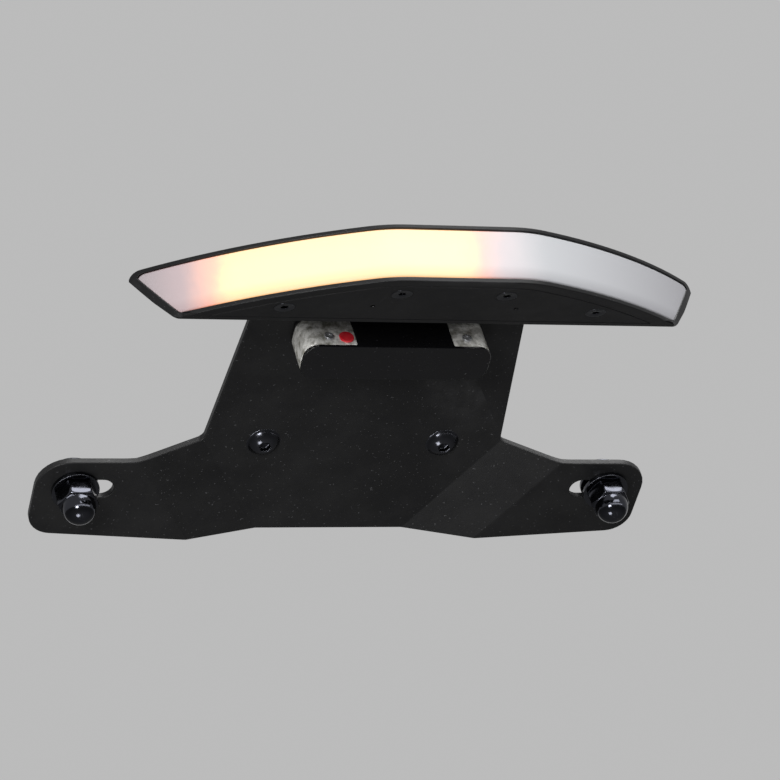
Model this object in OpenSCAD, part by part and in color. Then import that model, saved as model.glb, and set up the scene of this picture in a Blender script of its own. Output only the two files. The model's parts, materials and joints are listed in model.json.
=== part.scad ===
// Tail tidy: a folded sheet bracket that carries a number plate, with a curved signal light bar under
// its tongue and a number plate lamp on its neck.
// Millimetres, +Z up, +Y forwards from the light bar's lens, +X to the right.
// The origin is midway between the two tail bolt holes, on the top face of the tongue.

/* [Bracket sheet] */
// Thickness of the sheet
sheet_t = 2; // [1.5:0.1:2.5]
// Inside radius of every fold
fold_r = 2; // [1:0.5:3]
// Tail bolts back to the rear edge of the tongue
tongue_back = 34; // [32:0.5:36]
// Tail bolts forward to the bend between tongue and neck
tongue_front = 10.5; // [10:0.5:14]
// Width of the tongue
tongue_w = 75.2; // [70:0.2:78]
// Corner radius at the rear of the tongue
tongue_corner_r = 8; // [4:0.5:12]
// Angle of the neck below the tongue
neck_angle = 26.5; // [20:0.5:35]
// Length of the neck from its bend to the bottom edge of the hanger
neck_l = 81.6; // [74:0.2:100]
// Width of the neck where the first folds start
neck_low_w = 84.6; // [80:0.2:90]

/* [Tail bolts] */
// Spacing of the two tail bolt holes
tail_bolt_gap = 50; // [44:0.5:56]
// Diameter of the tail bolt holes
tail_bolt_d = 6.5; // [5.5:0.1:7]

/* [Hanger] */
// Width over the two ears
hanger_w = 174; // [168:0.5:200]
// Height of the first fold's upper end above the bottom edge
fold_up = 33.8; // [31:0.2:36]
// Angle of the folds from the length of the neck
fold_angle = 32; // [26:0.5:36]
// How far the ears stand out from the neck
joggle_step = 4.6; // [3:0.1:6]
// Width of the sloping web, square to its folds
joggle_run = 17.6; // [14:0.2:20]
// Height of the ears' top edge above the bottom edge
ear_up = 29.4; // [27:0.2:31]
// Rise of the ears' lower edge from the web to the outer corner
ear_rise = 3.4; // [1:0.2:5]
// Outer corner radius at the top of an ear
ear_top_r = 9; // [5:0.5:9]
// Outer corner radius at the bottom of an ear
ear_low_r = 7; // [4:0.5:8]
// Radius of the hollow curve from a web into its ear
ear_hollow_r = 32; // [15:1:40]

/* [Plate slots and bolts] */
// Width of a plate slot
slot_w = 6.5; // [6.2:0.1:7]
// End to end length of a plate slot
slot_l = 14; // [12:0.5:18]
// Spacing of the slots' centres
slot_gap = 145; // [140:0.5:150]
// Ears' top edge down to the middle of the slots
slot_drop = 9.7; // [8.5:0.1:12]
// Nominal diameter of the plate bolts
plate_bolt_d = 6; // [5:0.1:6]
// Size across flats of the plate bolts and dome nuts
plate_nut_af = 10; // [9:0.1:10.5]
// Height of a dome nut
dome_nut_h = 10.5; // [9:0.1:12]
// Diameter of the plate washers
plate_washer_d = 13; // [12:0.2:15]
// Thickness of the plate washers
plate_washer_t = 1.2; // [0.8:0.1:1.6]

/* [Neck screws] */
// Spacing of the two neck screws
neck_screw_gap = 51; // [44:0.5:56]
// Height of the neck screws above the bottom edge
neck_screw_up = 33; // [30:0.2:36]
// Nominal diameter of the neck screws
neck_screw_d = 5; // [4:0.1:5]
// Head diameter of the neck screws
neck_screw_head_d = 9.5; // [9:0.1:10]
// Length of the spacer collars behind the neck
collar_l = 6; // [4:0.5:10]
// Outside diameter of the spacer collars
collar_d = 10; // [9:0.2:12]
// Size across flats of the flange nuts
flange_nut_af = 8; // [7:0.1:9]
// Height of the flange nuts
flange_nut_h = 5; // [4:0.1:6]

/* [Light bar] */
// Tail bolts back to the light bar's rear face
bar_reach = 44.7; // [43:0.1:48]
// Height of the light bar
bar_h = 15.2; // [14.5:0.1:18]
// Half width of the flat middle of the rear face
bar_flat = 13.7; // [12:0.1:15]
// Radius of the soft corners beside the flat middle
bar_corner_r = 27; // [20:0.5:35]
// Angle that each soft corner turns through
bar_corner_a = 20.4; // [19:0.1:21]
// Radius of the swept wings
bar_wing_r = 157; // [150:1:170]
// Width of the light bar along its top
bar_top_w = 152.4; // [148:0.2:153]
// Width of the light bar along its bottom
bar_low_w = 134; // [130:0.2:135]
// Height of the upright part of the bar's ends, above the slant
bar_shoulder = 4; // [3.2:0.1:6]
// Tail bolts back to the top edge of the bar's front face
bar_front_top = 8.5; // [8:0.1:9]
// Tail bolts back to the bottom edge of the bar's front face
bar_front_low = 17.5; // [17:0.1:19]
// Corner radius of the bar's ends
bar_end_r = 2.6; // [1.5:0.1:3]
// Thickness of the housing's walls
bar_wall = 2; // [1.6:0.1:2.2]

/* [Light bar lens] */
// Rim of the housing above the lens
rim_top = 1.1; // [0.8:0.1:1.6]
// Rim of the housing below the lens
rim_low = 1.2; // [0.8:0.1:1.6]
// Rim of the housing beyond each end of the lens
rim_end = 1.7; // [1.2:0.1:2.4]
// Depth of the lens face behind the rims
lens_recess = 0.2; // [0.1:0.05:0.5]
// Thickness of the lens
lens_t = 2.4; // [2:0.1:2.6]
// Depth of the window between the lens and the light strip
window_l = 2.6; // [2.4:0.1:2.8]

/* [Light bar base] */
// Thickness of the base plate
base_t = 1.6; // [1.2:0.1:2]
// Thickness of the gasket under the base plate's edge
gasket_t = 0.5; // [0.3:0.1:0.8]
// Width of the gasket
gasket_w = 1.4; // [1.2:0.1:1.6]
// Nominal diameter of the base screws
base_screw_d = 3; // [2.5:0.1:3]
// Length of the base screws
base_screw_l = 8; // [6:0.5:9]
// Spacing of the inner pair of base screws
base_inner_gap = 27.6; // [26:0.2:29]
// Light bar's rear face forward to the inner pair of base screws
base_inner_back = 8.9; // [8.9:0.1:10]
// Spacing of the outer pair of base screws
base_outer_gap = 82.8; // [80:0.2:84]
// Light bar's rear face forward to the outer pair of base screws
base_outer_back = 18.7; // [18.4:0.1:19.4]

/* [Light bar fixing] */
// Spacing of the screws that hold the bar to the tongue
bar_screw_gap = 48; // [44:0.5:52]
// Tail bolts back to those screws
bar_screw_back = 24; // [22:0.5:25]
// Nominal diameter of those screws
bar_screw_d = 4; // [3.5:0.1:4]
// Depth of the bosses that those screws run into
bar_boss_l = 8; // [6.5:0.5:9]
// Tail bolts back to the middle of the bar's lead grommet
bar_grommet_back = 22; // [20:0.5:25]

/* [Light strip] */
// Number of diodes in each half of the strip
diodes = 7; // [5:1:8]
// Pitch of the diodes along the strip
diode_pitch = 7; // [6:0.1:7]
// Size of a diode along the strip
diode_w = 3; // [2:0.1:3.4]
// Height of a diode
diode_h = 2.8; // [2:0.1:3.4]
// Thickness of a diode
diode_t = 0.9; // [0.6:0.1:1.2]
// Overlap of the strip's board on the window's frame, above and below
strip_lap = 0.6; // [0.3:0.1:0.8]
// Thickness of the strip's board
strip_t = 0.5; // [0.3:0.1:0.6]
// Half length of the strip's board along X
strip_half = 52; // [50:0.5:53]

/* [Plate lamp] */
// Width of the lamp
lamp_w = 51.6; // [50:0.2:60]
// Size of the lamp along the neck
lamp_l = 11.4; // [11:0.1:13]
// Distance from the bend to the near side of the lamp
lamp_start = 2.7; // [2.2:0.1:6]
// Height of the lamp's body
lamp_body_h = 10.3; // [10:0.1:12]
// Corner radius of the lamp
lamp_r = 4; // [3:0.1:4.5]
// Wall thickness of the lamp
lamp_wall = 1.6; // [1.4:0.1:1.8]
// Thickness of the lamp's cap
cap_t = 1; // [0.8:0.1:1.5]
// Width of the tab that the cap folds over the lamp's near side
cap_tab_w = 26.8; // [20:0.2:27]
// How far the middle of that tab is to the right of the lamp's middle
cap_tab_shift = 1.7; // [1:0.1:1.8]
// Thickness of that tab
cap_tab_t = 0.8; // [0.6:0.1:1]
// Thickness of the rubber pad under the lamp
pad_t = 1; // [0.8:0.1:1.5]
// Width of the clear window in the lamp's far side
window_w = 34; // [28:0.5:36]
// Height of that window
window_h = 5.4; // [4.5:0.1:6]
// Half spacing of the small screws in the lamp's near side
side_screw_half = 19; // [18:0.1:20]
// Diameter of the small screws' heads
side_screw_head_d = 2.6; // [2:0.1:3]
// How far the filling plug is to the left of the lamp's middle
plug_left = 14.2; // [14:0.1:14.8]
// Diameter of the filling plug
plug_d = 4; // [3:0.1:4]
// Spacing of the screws that hold the lamp to the neck
lamp_screw_gap = 43; // [41:0.2:44]
// Nominal diameter of those screws
lamp_screw_d = 3; // [2.5:0.1:3]

/* [Hidden] */
$fn = 96;

// Clearances and small sizes that several pieces share
thread_gap = 0.05;   // between a screw's thread and the hole that it runs in
hole_gap = 0.5;      // extra diameter of a clearance hole
seat_gap = 0.1;      // round a piece that drops into a pocket
through = 1;         // how far a cut runs past the surface that it opens
far = 300;           // larger than the whole part
arc_steps = 8;       // points round a corner of an outline

// Sheet: angles, and the places where its folds and edges meet
joggle_angle = atan(joggle_step / joggle_run);
joggle_trim = fold_r * tan(joggle_angle / 2);
strip_overlap = 6;
fold_t = neck_l - fold_up;
fold_x = neck_low_w / 2;
web_end_x = fold_x + joggle_run / cos(fold_angle) - (fold_up - ear_up) * tan(fold_angle);
web_low_x = fold_x + joggle_run / cos(fold_angle) - fold_up * tan(fold_angle);
ear_t = neck_l - ear_up;
ear_low_t = neck_l - ear_rise;
fold_corner_r = 2;
web_corner_r = 6;

// Places along the neck
slot_t = ear_t + slot_drop;
plate_bolt_x = slot_gap / 2 + (slot_l - slot_w) / 2 - (slot_w - plate_bolt_d) / 2;
neck_screw_t = neck_l - neck_screw_up;
lamp_mid = lamp_start + lamp_l / 2;

// Light bar: heights, and the centre of a wing's arc
bar_top = -sheet_t;
bar_low = bar_top - bar_h;
lens_top = bar_top - rim_top;
lens_low = bar_low + rim_low;
bar_rear = -bar_reach;
wing_x = bar_flat + (bar_corner_r - bar_wing_r) * sin(bar_corner_a);
wing_y = bar_rear + bar_corner_r - (bar_corner_r - bar_wing_r) * cos(bar_corner_a);
seat_depth = lens_recess + lens_t;
strip_depth = seat_depth + window_l;
base_top = bar_low + base_t;
pocket_rear = seat_depth + bar_wall / 2;
pocket_front = bar_wall;
pocket_end = 2 * bar_wall;
cavity_low = base_top + gasket_t;
cavity_top = bar_top - bar_wall;
cavity_front = pocket_front + gasket_w + 2 * seat_gap;
cavity_end = 9;
window_edge = 2.2;
window_low = lens_low + window_edge;
window_top = lens_top - window_edge;
lens_end_r = bar_end_r - 1;
shoulder_z = bar_top - bar_shoulder;
bar_end_slant = (bar_top_w - bar_low_w) / 2 / (bar_h - bar_shoulder);
boss_wall = 1;
base_boss_r = base_screw_d / 2 + boss_wall;
bar_boss_r = bar_screw_d / 2 + 2 * boss_wall;
base_screws = [
    for (side = [-1, 1]) [side * base_inner_gap / 2, bar_rear + base_inner_back],
    for (side = [-1, 1]) [side * base_outer_gap / 2, bar_rear + base_outer_back]
];
vent_half = 19;
vent_back = 16.8;
vent_d = 1.2;
strip_mid = (window_top + window_low) / 2;
strip_h = window_top - window_low + 2 * strip_lap;

// Grommets: a groove that holds the sheet, a flange on each side and a bore for the lead
grommet_groove_d = 8;
grommet_flange_d = 11;
grommet_flange_t = 1.2;
grommet_inner_d = 9.6;
grommet_inner_t = pad_t;
grommet_bore_d = 4;

// Plate lamp: levels measured outwards from the neck's lower face
lamp_front = pad_t + lamp_body_h;
lamp_front_wall = 1.2;
lamp_cavity = lamp_front - lamp_front_wall;
lamp_board_t = 1;
lamp_board_w = 42;
lamp_board_low = pad_t + lamp_front_wall;
lamp_board_high = lamp_cavity - seat_gap;
lamp_board_mid = (lamp_board_low + lamp_board_high) / 2;
lamp_board_start = lamp_start + lamp_wall;
side_screw_h = 8.6;
side_screw_d = 1.6;
side_screw_head_t = 0.7;
plug_h = 8.7;
plug_shank_d = plug_d - 1;
plug_proud = 0.5;
window_flange = 1;
window_flange_t = 0.8;
lamp_diode_w = 3;
lamp_diode_t = 1;
lamp_diode_pitch = 11;
lamp_boss_r = lamp_screw_d / 2 + 0.9;
lamp_screw_depth = 6.5;

// Screws and nuts, as shares of their nominal size, head or size across flats
socket_share = 0.55;
socket_depth_share = 0.6;
countersink_share = 1.85;
countersunk_socket_share = 0.8;
button_head_share = 1.9;
button_rise_share = 0.55;
hex_head_share = 0.65;
hex_face_share = 0.98;
flange_share = 1.4;
flange_t = 1.1;
dome_hex_share = 0.5;
dome_bore_share = 0.65;
dome_thread_share = 0.6;
dome_r_share = 0.46;
tip_l = 1.5;

// Unit vector from one point to another
function unit(from, to) = (to - from) / norm(to - from);

// Cross product of two flat vectors: positive where the second turns left of the first
function turn_of(a, b) = a.x * b.y - a.y * b.x;

// A flat vector turned anticlockwise
function turned(v, angle) = [v.x * cos(angle) - v.y * sin(angle), v.x * sin(angle) + v.y * cos(angle)];

// The points of one corner of an outline, rounded where its radius is not zero
function corner_points(before, here, after) =
    let (point = [here.x, here.y],
         back = unit(point, [before.x, before.y]),
         on = unit(point, [after.x, after.y]),
         half = acos(back * on) / 2,
         start = point + here.z / tan(half) * back,
         centre = point + here.z / sin(half) * unit([0, 0], back + on),
         sweep = (turn_of(-back, on) > 0 ? 1 : -1) * (180 - 2 * half))
    here.z == 0 ? [point]
                : [for (i = [0:arc_steps]) centre + turned(start - centre, sweep * i / arc_steps)];

// A filled outline from [x, y, corner radius] points that run anticlockwise
module outline(points) {
    count = len(points);
    polygon([for (i = [0:count - 1])
        each corner_points(points[(i + count - 1) % count], points[i], points[(i + 1) % count])]);
}

// A slot with round ends, along X
module slot(length, width) {
    square([length - width, width], center = true);
    for (side = [-1, 1]) {
        translate([side * (length - width) / 2, 0]) circle(d = width);
    }
}

// The points of a right half, mirrored to the left and in the order that keeps them anticlockwise
function mirrored(points) =
    [for (i = [len(points) - 1:-1:0]) [-points[i].x, points[i].y, points[i].z]];

// Mirrors its children to the left side when side is negative
module on_side(side) {
    if (side < 0) {
        mirror([1, 0, 0]) children();
    } else {
        children();
    }
}

// The neck's own frame: Y runs down the neck from its bend, z = 0 is the lower face
module neck_frame() {
    translate([0, tongue_front, -sheet_t]) rotate([-neck_angle, 0, 0]) children();
}

// A piece on the neck's lower face: z now points out of that face, and Y still runs down the neck
module on_neck_face(x, t, level = 0) {
    neck_frame() translate([x, t, -level]) rotate([180, 0, 0]) mirror([0, 1, 0]) children();
}

// The outline of the neck and its two ears, seen square to the neck, down from its bend
module hanger_outline() {
    half = hanger_w / 2;
    right = [
        [fold_x, fold_t, fold_corner_r],
        [web_end_x, ear_t, ear_hollow_r],
        [half, ear_t, ear_top_r],
        [half, ear_low_t, ear_low_r],
        [web_low_x, neck_l, web_corner_r]
    ];
    top = [[-tongue_w / 2, 0, 0], [tongue_w / 2, 0, 0]];
    outline(concat(top, right, mirrored(right)));
}

// The side of the right first fold that the ear is on, from a distance past the fold
module ear_side(past) {
    translate([fold_x, fold_t])
        rotate(fold_angle - 90)
            translate([-neck_l, past])
                square([2 * neck_l, hanger_w]);
}

// Left normal of the step from one point to the next
function left_of(from, to) = let (step = unit(from, to)) [-step.y, step.x];

// The section of a folded sheet whose lower face runs through a list of sharp points
module sheet_section(path) {
    last = len(path) - 1;
    normals = [for (i = [0:last - 1]) left_of(path[i], path[i + 1])];
    turns = [for (i = [1:last - 1]) turn_of(path[i] - path[i - 1], path[i + 1] - path[i])];
    lower = [for (i = [0:last])
        [path[i].x, path[i].y, i == 0 || i == last ? 0 : fold_r + (turns[i - 1] > 0 ? sheet_t : 0)]];
    upper = [for (i = [last:-1:0])
        let (before = normals[max(i - 1, 0)],
             after = normals[min(i, last - 1)],
             point = path[i] + sheet_t * (before + after) / (1 + before * after))
        [point.x, point.y, i == 0 || i == last ? 0 : fold_r + (turns[i - 1] > 0 ? 0 : sheet_t)]];
    outline(concat(lower, upper));
}

// The tongue, the bend and the neck at full width, in the neck's frame
module bent_sheet() {
    tongue_l = tongue_back + tongue_front + through;
    rotate([90, 0, 90])
        linear_extrude(hanger_w, center = true)
            sheet_section([-tongue_l * [cos(neck_angle), sin(neck_angle)], [0, 0], [neck_l + through, 0]]);
}

// The tongue's outline from above, as a block that reaches past the bend
module tongue_block() {
    half = tongue_w / 2;
    front = tongue_front + fold_r + sheet_t;
    linear_extrude(far, center = true)
        outline([
            [-half, -tongue_back, tongue_corner_r], [half, -tongue_back, tongue_corner_r],
            [half, front, 0], [-half, front, 0]
        ]);
}

// The neck's outline between the two first folds, as a block in the neck's frame
module neck_block() {
    linear_extrude(far, center = true)
        difference() {
            hanger_outline();
            for (side = [-1, 1]) {
                on_side(side) ear_side(-joggle_trim);
            }
        }
}

// The joggled strip on the right side: a little of the neck, the web and the ear
module ear_strip() {
    translate([fold_x, fold_t, 0])
        rotate([0, 0, fold_angle - 90])
            rotate([90, 0, 90])
                linear_extrude(2 * neck_l, center = true)
                    sheet_section([
                        [-strip_overlap, 0], [0, 0],
                        [joggle_run, -joggle_step], [hanger_w / 2, -joggle_step]
                    ]);
}

// The right ear with its web, cut to the hanger's outline
module ear() {
    intersection() {
        linear_extrude(far, center = true)
            intersection() {
                hanger_outline();
                ear_side(-strip_overlap / 2);
            }
        ear_strip();
    }
}

// Tongue, neck, webs and ears: one folded sheet, powder coated black
module bracket() {
    color("#1b1b1c")
    difference() {
        union() {
            intersection() {
                neck_frame() bent_sheet();
                union() {
                    tongue_block();
                    neck_frame() neck_block();
                }
            }
            neck_frame() {
                for (side = [-1, 1]) {
                    on_side(side) ear();
                }
            }
        }
        for (side = [-1, 1]) {
            translate([side * tail_bolt_gap / 2, 0, -sheet_t - through])
                cylinder(d = tail_bolt_d, h = sheet_t + 2 * through);
            translate([side * bar_screw_gap / 2, -bar_screw_back, -sheet_t - through])
                cylinder(d = bar_screw_d + hole_gap, h = sheet_t + 2 * through);
            neck_frame() {
                translate([side * slot_gap / 2, slot_t, -joggle_step - through])
                    linear_extrude(sheet_t + 2 * through) slot(slot_l, slot_w);
                translate([side * neck_screw_gap / 2, neck_screw_t, -through])
                    cylinder(d = neck_screw_d + hole_gap, h = sheet_t + 2 * through);
                translate([side * lamp_screw_gap / 2, lamp_mid, -through])
                    cylinder(d = lamp_screw_d + hole_gap, h = sheet_t + 2 * through);
            }
        }
        translate([0, -bar_grommet_back, -sheet_t - through])
            cylinder(d = grommet_groove_d, h = sheet_t + 2 * through);
        neck_frame() translate([0, lamp_mid, -through])
            cylinder(d = grommet_groove_d, h = sheet_t + 2 * through);
    }
}

// The bar seen from above: flat middle, soft corners and swept wings, each taken in by an inset
module bar_plan(inset) {
    corner_y = bar_rear + bar_corner_r;
    blend_y = corner_y - (bar_corner_r - inset) * cos(bar_corner_a);
    translate([-bar_flat, bar_rear + inset]) square([2 * bar_flat, bar_corner_r]);
    for (side = [-1, 1]) {
        translate([side * bar_flat, corner_y]) circle(r = bar_corner_r - inset);
    }
    intersection() {
        translate([wing_x, wing_y]) circle(r = bar_wing_r - inset, $fn = 4 * $fn);
        translate([-wing_x, wing_y]) circle(r = bar_wing_r - inset, $fn = 4 * $fn);
        translate([-bar_wing_r, blend_y]) square([2 * bar_wing_r, bar_reach]);
    }
}

// Half width of the bar's end at a height
function bar_half(z) = min(bar_top_w / 2, bar_low_w / 2 + (z - bar_low) * bar_end_slant);

// One end of the bar between two heights, from its lowest point up
function bar_end_points(low, high, inset, r) = [
    [bar_half(low) - inset, low, r],
    if (high > shoulder_z) [bar_half(high) - inset, shoulder_z, r],
    [bar_half(high) - inset, high, r]
];

// The bar's front face at a height
function bar_front(z) = -bar_front_low + (z - bar_low) * (bar_front_low - bar_front_top) / bar_h;

// A block between two heights with the bar's rear curve, leaning front and slanting ends
module bar_block(low, high, rear_inset, front_inset, end_inset, end_r) {
    right = bar_end_points(low, high, end_inset, end_r);
    intersection() {
        translate([0, 0, low - through]) linear_extrude(high - low + 2 * through) bar_plan(rear_inset);
        rotate([90, 0, 0])
            linear_extrude(far, center = true) outline(concat(right, mirrored(right)));
        rotate([90, 0, 90])
            linear_extrude(far, center = true)
                polygon([
                    [bar_rear - through, low], [bar_front(low) - front_inset, low],
                    [bar_front(high) - front_inset, high], [bar_rear - through, high]
                ]);
    }
}

// The space between the bar's rear face and a depth behind it
module bar_skin(depth) {
    difference() {
        children();
        linear_extrude(far, center = true) bar_plan(depth);
    }
}

// The bosses inside the bar, clear of the light strip's board
module bar_bosses() {
    intersection() {
        linear_extrude(far, center = true) bar_plan(strip_depth + strip_t + seat_gap);
        union() {
            for (place = base_screws) {
                translate([place.x, place.y, bar_low]) cylinder(r = base_boss_r, h = bar_h);
            }
            for (side = [-1, 1]) {
                translate([side * bar_screw_gap / 2, -bar_screw_back, bar_top - bar_boss_l])
                    cylinder(r = bar_boss_r, h = bar_boss_l);
            }
        }
    }
}

// Moulded housing: lens seat and window at the rear, bosses inside, open underneath
module bar_housing() {
    color("#161616")
    difference() {
        bar_block(bar_low, bar_top, 0, 0, 0, bar_end_r);
        bar_skin(seat_depth)
            bar_block(lens_low, lens_top, -through, rim_end, rim_end, lens_end_r);
        bar_skin(strip_depth + strip_t)
            bar_block(window_low, window_top, 0, cavity_front, cavity_end, 0);
        difference() {
            bar_block(cavity_low - through, cavity_top, strip_depth, cavity_front, cavity_end, 0);
            bar_bosses();
        }
        bar_block(bar_low - through, cavity_low, pocket_rear, pocket_front, pocket_end, 0);
        for (place = base_screws) {
            translate([place.x, place.y, bar_low])
                cylinder(d = base_screw_d + 2 * thread_gap, h = base_screw_l + through);
        }
        for (side = [-1, 1]) {
            translate([side * bar_screw_gap / 2, -bar_screw_back, bar_top - bar_boss_l - through])
                cylinder(d = bar_screw_d + 2 * thread_gap, h = bar_boss_l + 2 * through);
        }
        translate([0, -bar_grommet_back, cavity_top - through])
            cylinder(d = grommet_groove_d, h = bar_wall + 2 * through);
    }
}

// Frosted lens: a curved strip that follows the bar's rear face
module bar_lens() {
    color("#e8e6e4")
    bar_skin(seat_depth)
        bar_block(lens_low + seat_gap, lens_top - seat_gap, lens_recess, rim_end + seat_gap,
                  rim_end + seat_gap, lens_end_r);
}

// The pocket under the bar between two heights, with its walls taken in by an inset
module pocket_block(low, high, inset) {
    bar_block(low, high, pocket_rear + inset, pocket_front + inset, pocket_end + inset, 0);
}

// Base plate: closes the bar from below, held by four countersunk screws
module bar_base_plate() {
    hole_d = base_screw_d + 2 * seat_gap;
    sink_d = base_screw_d * countersink_share + 2 * seat_gap;
    color("#141414")
    difference() {
        pocket_block(bar_low, base_top, seat_gap);
        for (place = base_screws) {
            translate([place.x, place.y, bar_low - through]) cylinder(d = hole_d, h = base_t + 2 * through);
            translate([place.x, place.y, bar_low])
                cylinder(d1 = sink_d, d2 = hole_d, h = (sink_d - hole_d) / 2);
        }
        for (side = [-1, 1]) {
            translate([side * vent_half, bar_rear + vent_back, bar_low - through])
                cylinder(d = vent_d, h = base_t + 2 * through);
        }
    }
}

// Rubber gasket between the base plate and the housing
module bar_gasket() {
    color("#0e0e0e")
    difference() {
        pocket_block(base_top, cavity_low, seat_gap);
        pocket_block(base_top - through, cavity_low + through, seat_gap + gasket_w);
    }
}

// Flexible circuit board that lies against the back of the window
module light_strip_board() {
    color("#e9e7df")
    translate([0, 0, strip_mid - strip_h / 2])
        linear_extrude(strip_h)
            intersection() {
                difference() {
                    bar_plan(strip_depth);
                    bar_plan(strip_depth + strip_t);
                }
                translate([-strip_half, bar_rear]) square([2 * strip_half, bar_reach]);
            }
}

// A point on the strip's face at a distance along it from the middle: [x, y, angle]
function strip_point(along) =
    let (corner = bar_corner_r - strip_depth,
         wing = bar_wing_r - strip_depth,
         corner_l = corner * bar_corner_a * PI / 180,
         past = along - bar_flat,
         angle = past < corner_l ? past / corner * 180 / PI
                                 : bar_corner_a + (past - corner_l) / wing * 180 / PI)
    past < 0 ? [along, bar_rear + strip_depth, 0]
    : past < corner_l
        ? [bar_flat + corner * sin(angle), bar_rear + bar_corner_r - corner * cos(angle), angle]
        : [wing_x + wing * sin(angle), wing_y - wing * cos(angle), angle];

// The diodes of one half of the strip
module diode_row(side) {
    color("#f1dc7c")
    on_side(side)
        for (i = [0:diodes - 1]) {
            place = strip_point((i + 0.5) * diode_pitch);
            translate([place.x, place.y, strip_mid])
                rotate([0, 0, place.z])
                    translate([-diode_w / 2, -diode_t, -diode_h / 2])
                        cube([diode_w, diode_t, diode_h]);
        }
}

// A countersunk screw that hangs head down, with its head's face on z = 0 and its tip up
module countersunk_screw(size, length) {
    head_h = size * (countersink_share - 1) / 2;
    difference() {
        union() {
            cylinder(d1 = size * countersink_share, d2 = size, h = head_h);
            cylinder(d = size, h = length);
        }
        translate([0, 0, -through])
            cylinder(d = size * socket_share / cos(30), h = through + head_h * countersunk_socket_share,
                     $fn = 6);
    }
}

// A button head screw: the head stands on z = 0 and the shank runs down from it
module button_screw(size, head_d, length) {
    head_h = size * button_rise_share;
    dome_r = (pow(head_d / 2, 2) + pow(head_h, 2)) / (2 * head_h);
    difference() {
        union() {
            intersection() {
                translate([0, 0, head_h - dome_r]) sphere(r = dome_r);
                cylinder(d = head_d, h = head_h);
            }
            translate([0, 0, -length]) cylinder(d = size, h = length);
        }
        translate([0, 0, head_h * (1 - socket_depth_share)])
            cylinder(d = size * socket_share / cos(30), h = head_h, $fn = 6);
    }
}

// A hexagon nut or head of a given size across its flats, with its outer corners turned off
module hexagon(across, height) {
    face_d = across * hex_face_share;
    intersection() {
        cylinder(d = across / cos(30), h = height, $fn = 6);
        cylinder(d1 = face_d + 2 * height, d2 = face_d, h = height);
    }
}

// A ring that lies on z = 0
module ring(outer, inner, height) {
    difference() {
        cylinder(d = outer, h = height);
        translate([0, 0, -through]) cylinder(d = inner, h = height + 2 * through);
    }
}

// The four screws of the base plate
module bar_base_screws() {
    color("#2a2a2c")
    for (place = base_screws) {
        translate([place.x, place.y, bar_low]) countersunk_screw(base_screw_d, base_screw_l);
    }
}

// A button head screw through the tongue into the bar's boss
module bar_screw(side) {
    color("#2a2a2c")
    translate([side * bar_screw_gap / 2, -bar_screw_back, 0])
        button_screw(bar_screw_d, bar_screw_d * button_head_share, sheet_t + bar_boss_l - tip_l);
}

// A rubber grommet whose groove starts on z = 0 and holds a stack of a given thickness
module grommet(stack) {
    difference() {
        union() {
            translate([0, 0, -grommet_inner_t]) cylinder(d = grommet_inner_d, h = grommet_inner_t);
            cylinder(d = grommet_groove_d, h = stack);
            translate([0, 0, stack]) cylinder(d = grommet_flange_d, h = grommet_flange_t);
        }
        cylinder(d = grommet_bore_d, h = far, center = true);
    }
}

// Grommet for the bar's lead, through the tongue and the housing's top wall
module bar_lead_grommet() {
    color("#101010")
    translate([0, -bar_grommet_back, cavity_top]) grommet(bar_wall + sheet_t);
}

// Grommet for the lamp's lead, through the neck
module lamp_lead_grommet() {
    color("#101010")
    neck_frame() translate([0, lamp_mid, 0]) grommet(sheet_t);
}

// The lamp's outline, square to the neck, taken in by an inset
module lamp_outline(inset) {
    half = lamp_w / 2 - inset;
    low = inset;
    high = lamp_l - inset;
    r = lamp_r - inset;
    outline([[-half, low, r], [half, low, r], [half, high, r], [-half, high, r]]);
}

// The strip of the lamp's near side that the cap's tab covers, to a distance outside that side
module tab_outline(outside) {
    translate([cap_tab_shift - cap_tab_w / 2, -outside]) square([cap_tab_w, cap_tab_t + outside]);
}

// Rubber pad between the lamp and the neck
module lamp_pad() {
    color("#0c0c0c")
    on_neck_face(0, lamp_start)
        linear_extrude(pad_t)
            difference() {
                lamp_outline(0);
                translate([0, lamp_l / 2]) circle(d = grommet_inner_d + 2 * seat_gap);
                for (side = [-1, 1]) {
                    translate([side * lamp_screw_gap / 2, lamp_l / 2]) circle(d = lamp_screw_d + hole_gap);
                }
            }
}

// Bright plated body of the lamp, open towards the neck
module lamp_body() {
    color("#d9dbde")
    on_neck_face(0, lamp_start)
        difference() {
            translate([0, 0, pad_t]) linear_extrude(lamp_body_h)
                difference() {
                    lamp_outline(0);
                    tab_outline(through);
                }
            difference() {
                translate([0, 0, pad_t - through])
                    linear_extrude(lamp_cavity - pad_t + through) lamp_outline(lamp_wall);
                for (side = [-1, 1]) {
                    translate([side * lamp_screw_gap / 2, lamp_l / 2, 0]) cylinder(r = lamp_boss_r, h = far);
                }
            }
            for (side = [-1, 1]) {
                translate([side * lamp_screw_gap / 2, lamp_l / 2, pad_t - through])
                    cylinder(d = lamp_screw_d + 2 * thread_gap, h = lamp_screw_depth + through);
                translate([side * side_screw_half, -through, side_screw_h])
                    rotate([-90, 0, 0])
                        cylinder(d = side_screw_d + 2 * thread_gap, h = lamp_wall + 2 * through);
            }
            translate([-plug_left, -through, plug_h])
                rotate([-90, 0, 0]) cylinder(d = plug_shank_d, h = lamp_wall + 2 * through);
            translate([-window_w / 2, lamp_l - lamp_wall - through, lamp_board_mid - window_h / 2])
                cube([window_w, lamp_wall + 2 * through, window_h]);
        }
}

// Black cap over the lamp's face, with a tab down its near side
module lamp_cap() {
    color("#121212")
    on_neck_face(0, lamp_start) {
        translate([0, 0, lamp_front]) linear_extrude(cap_t) lamp_outline(0);
        translate([0, 0, pad_t]) linear_extrude(lamp_body_h) tab_outline(0);
    }
}

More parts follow.
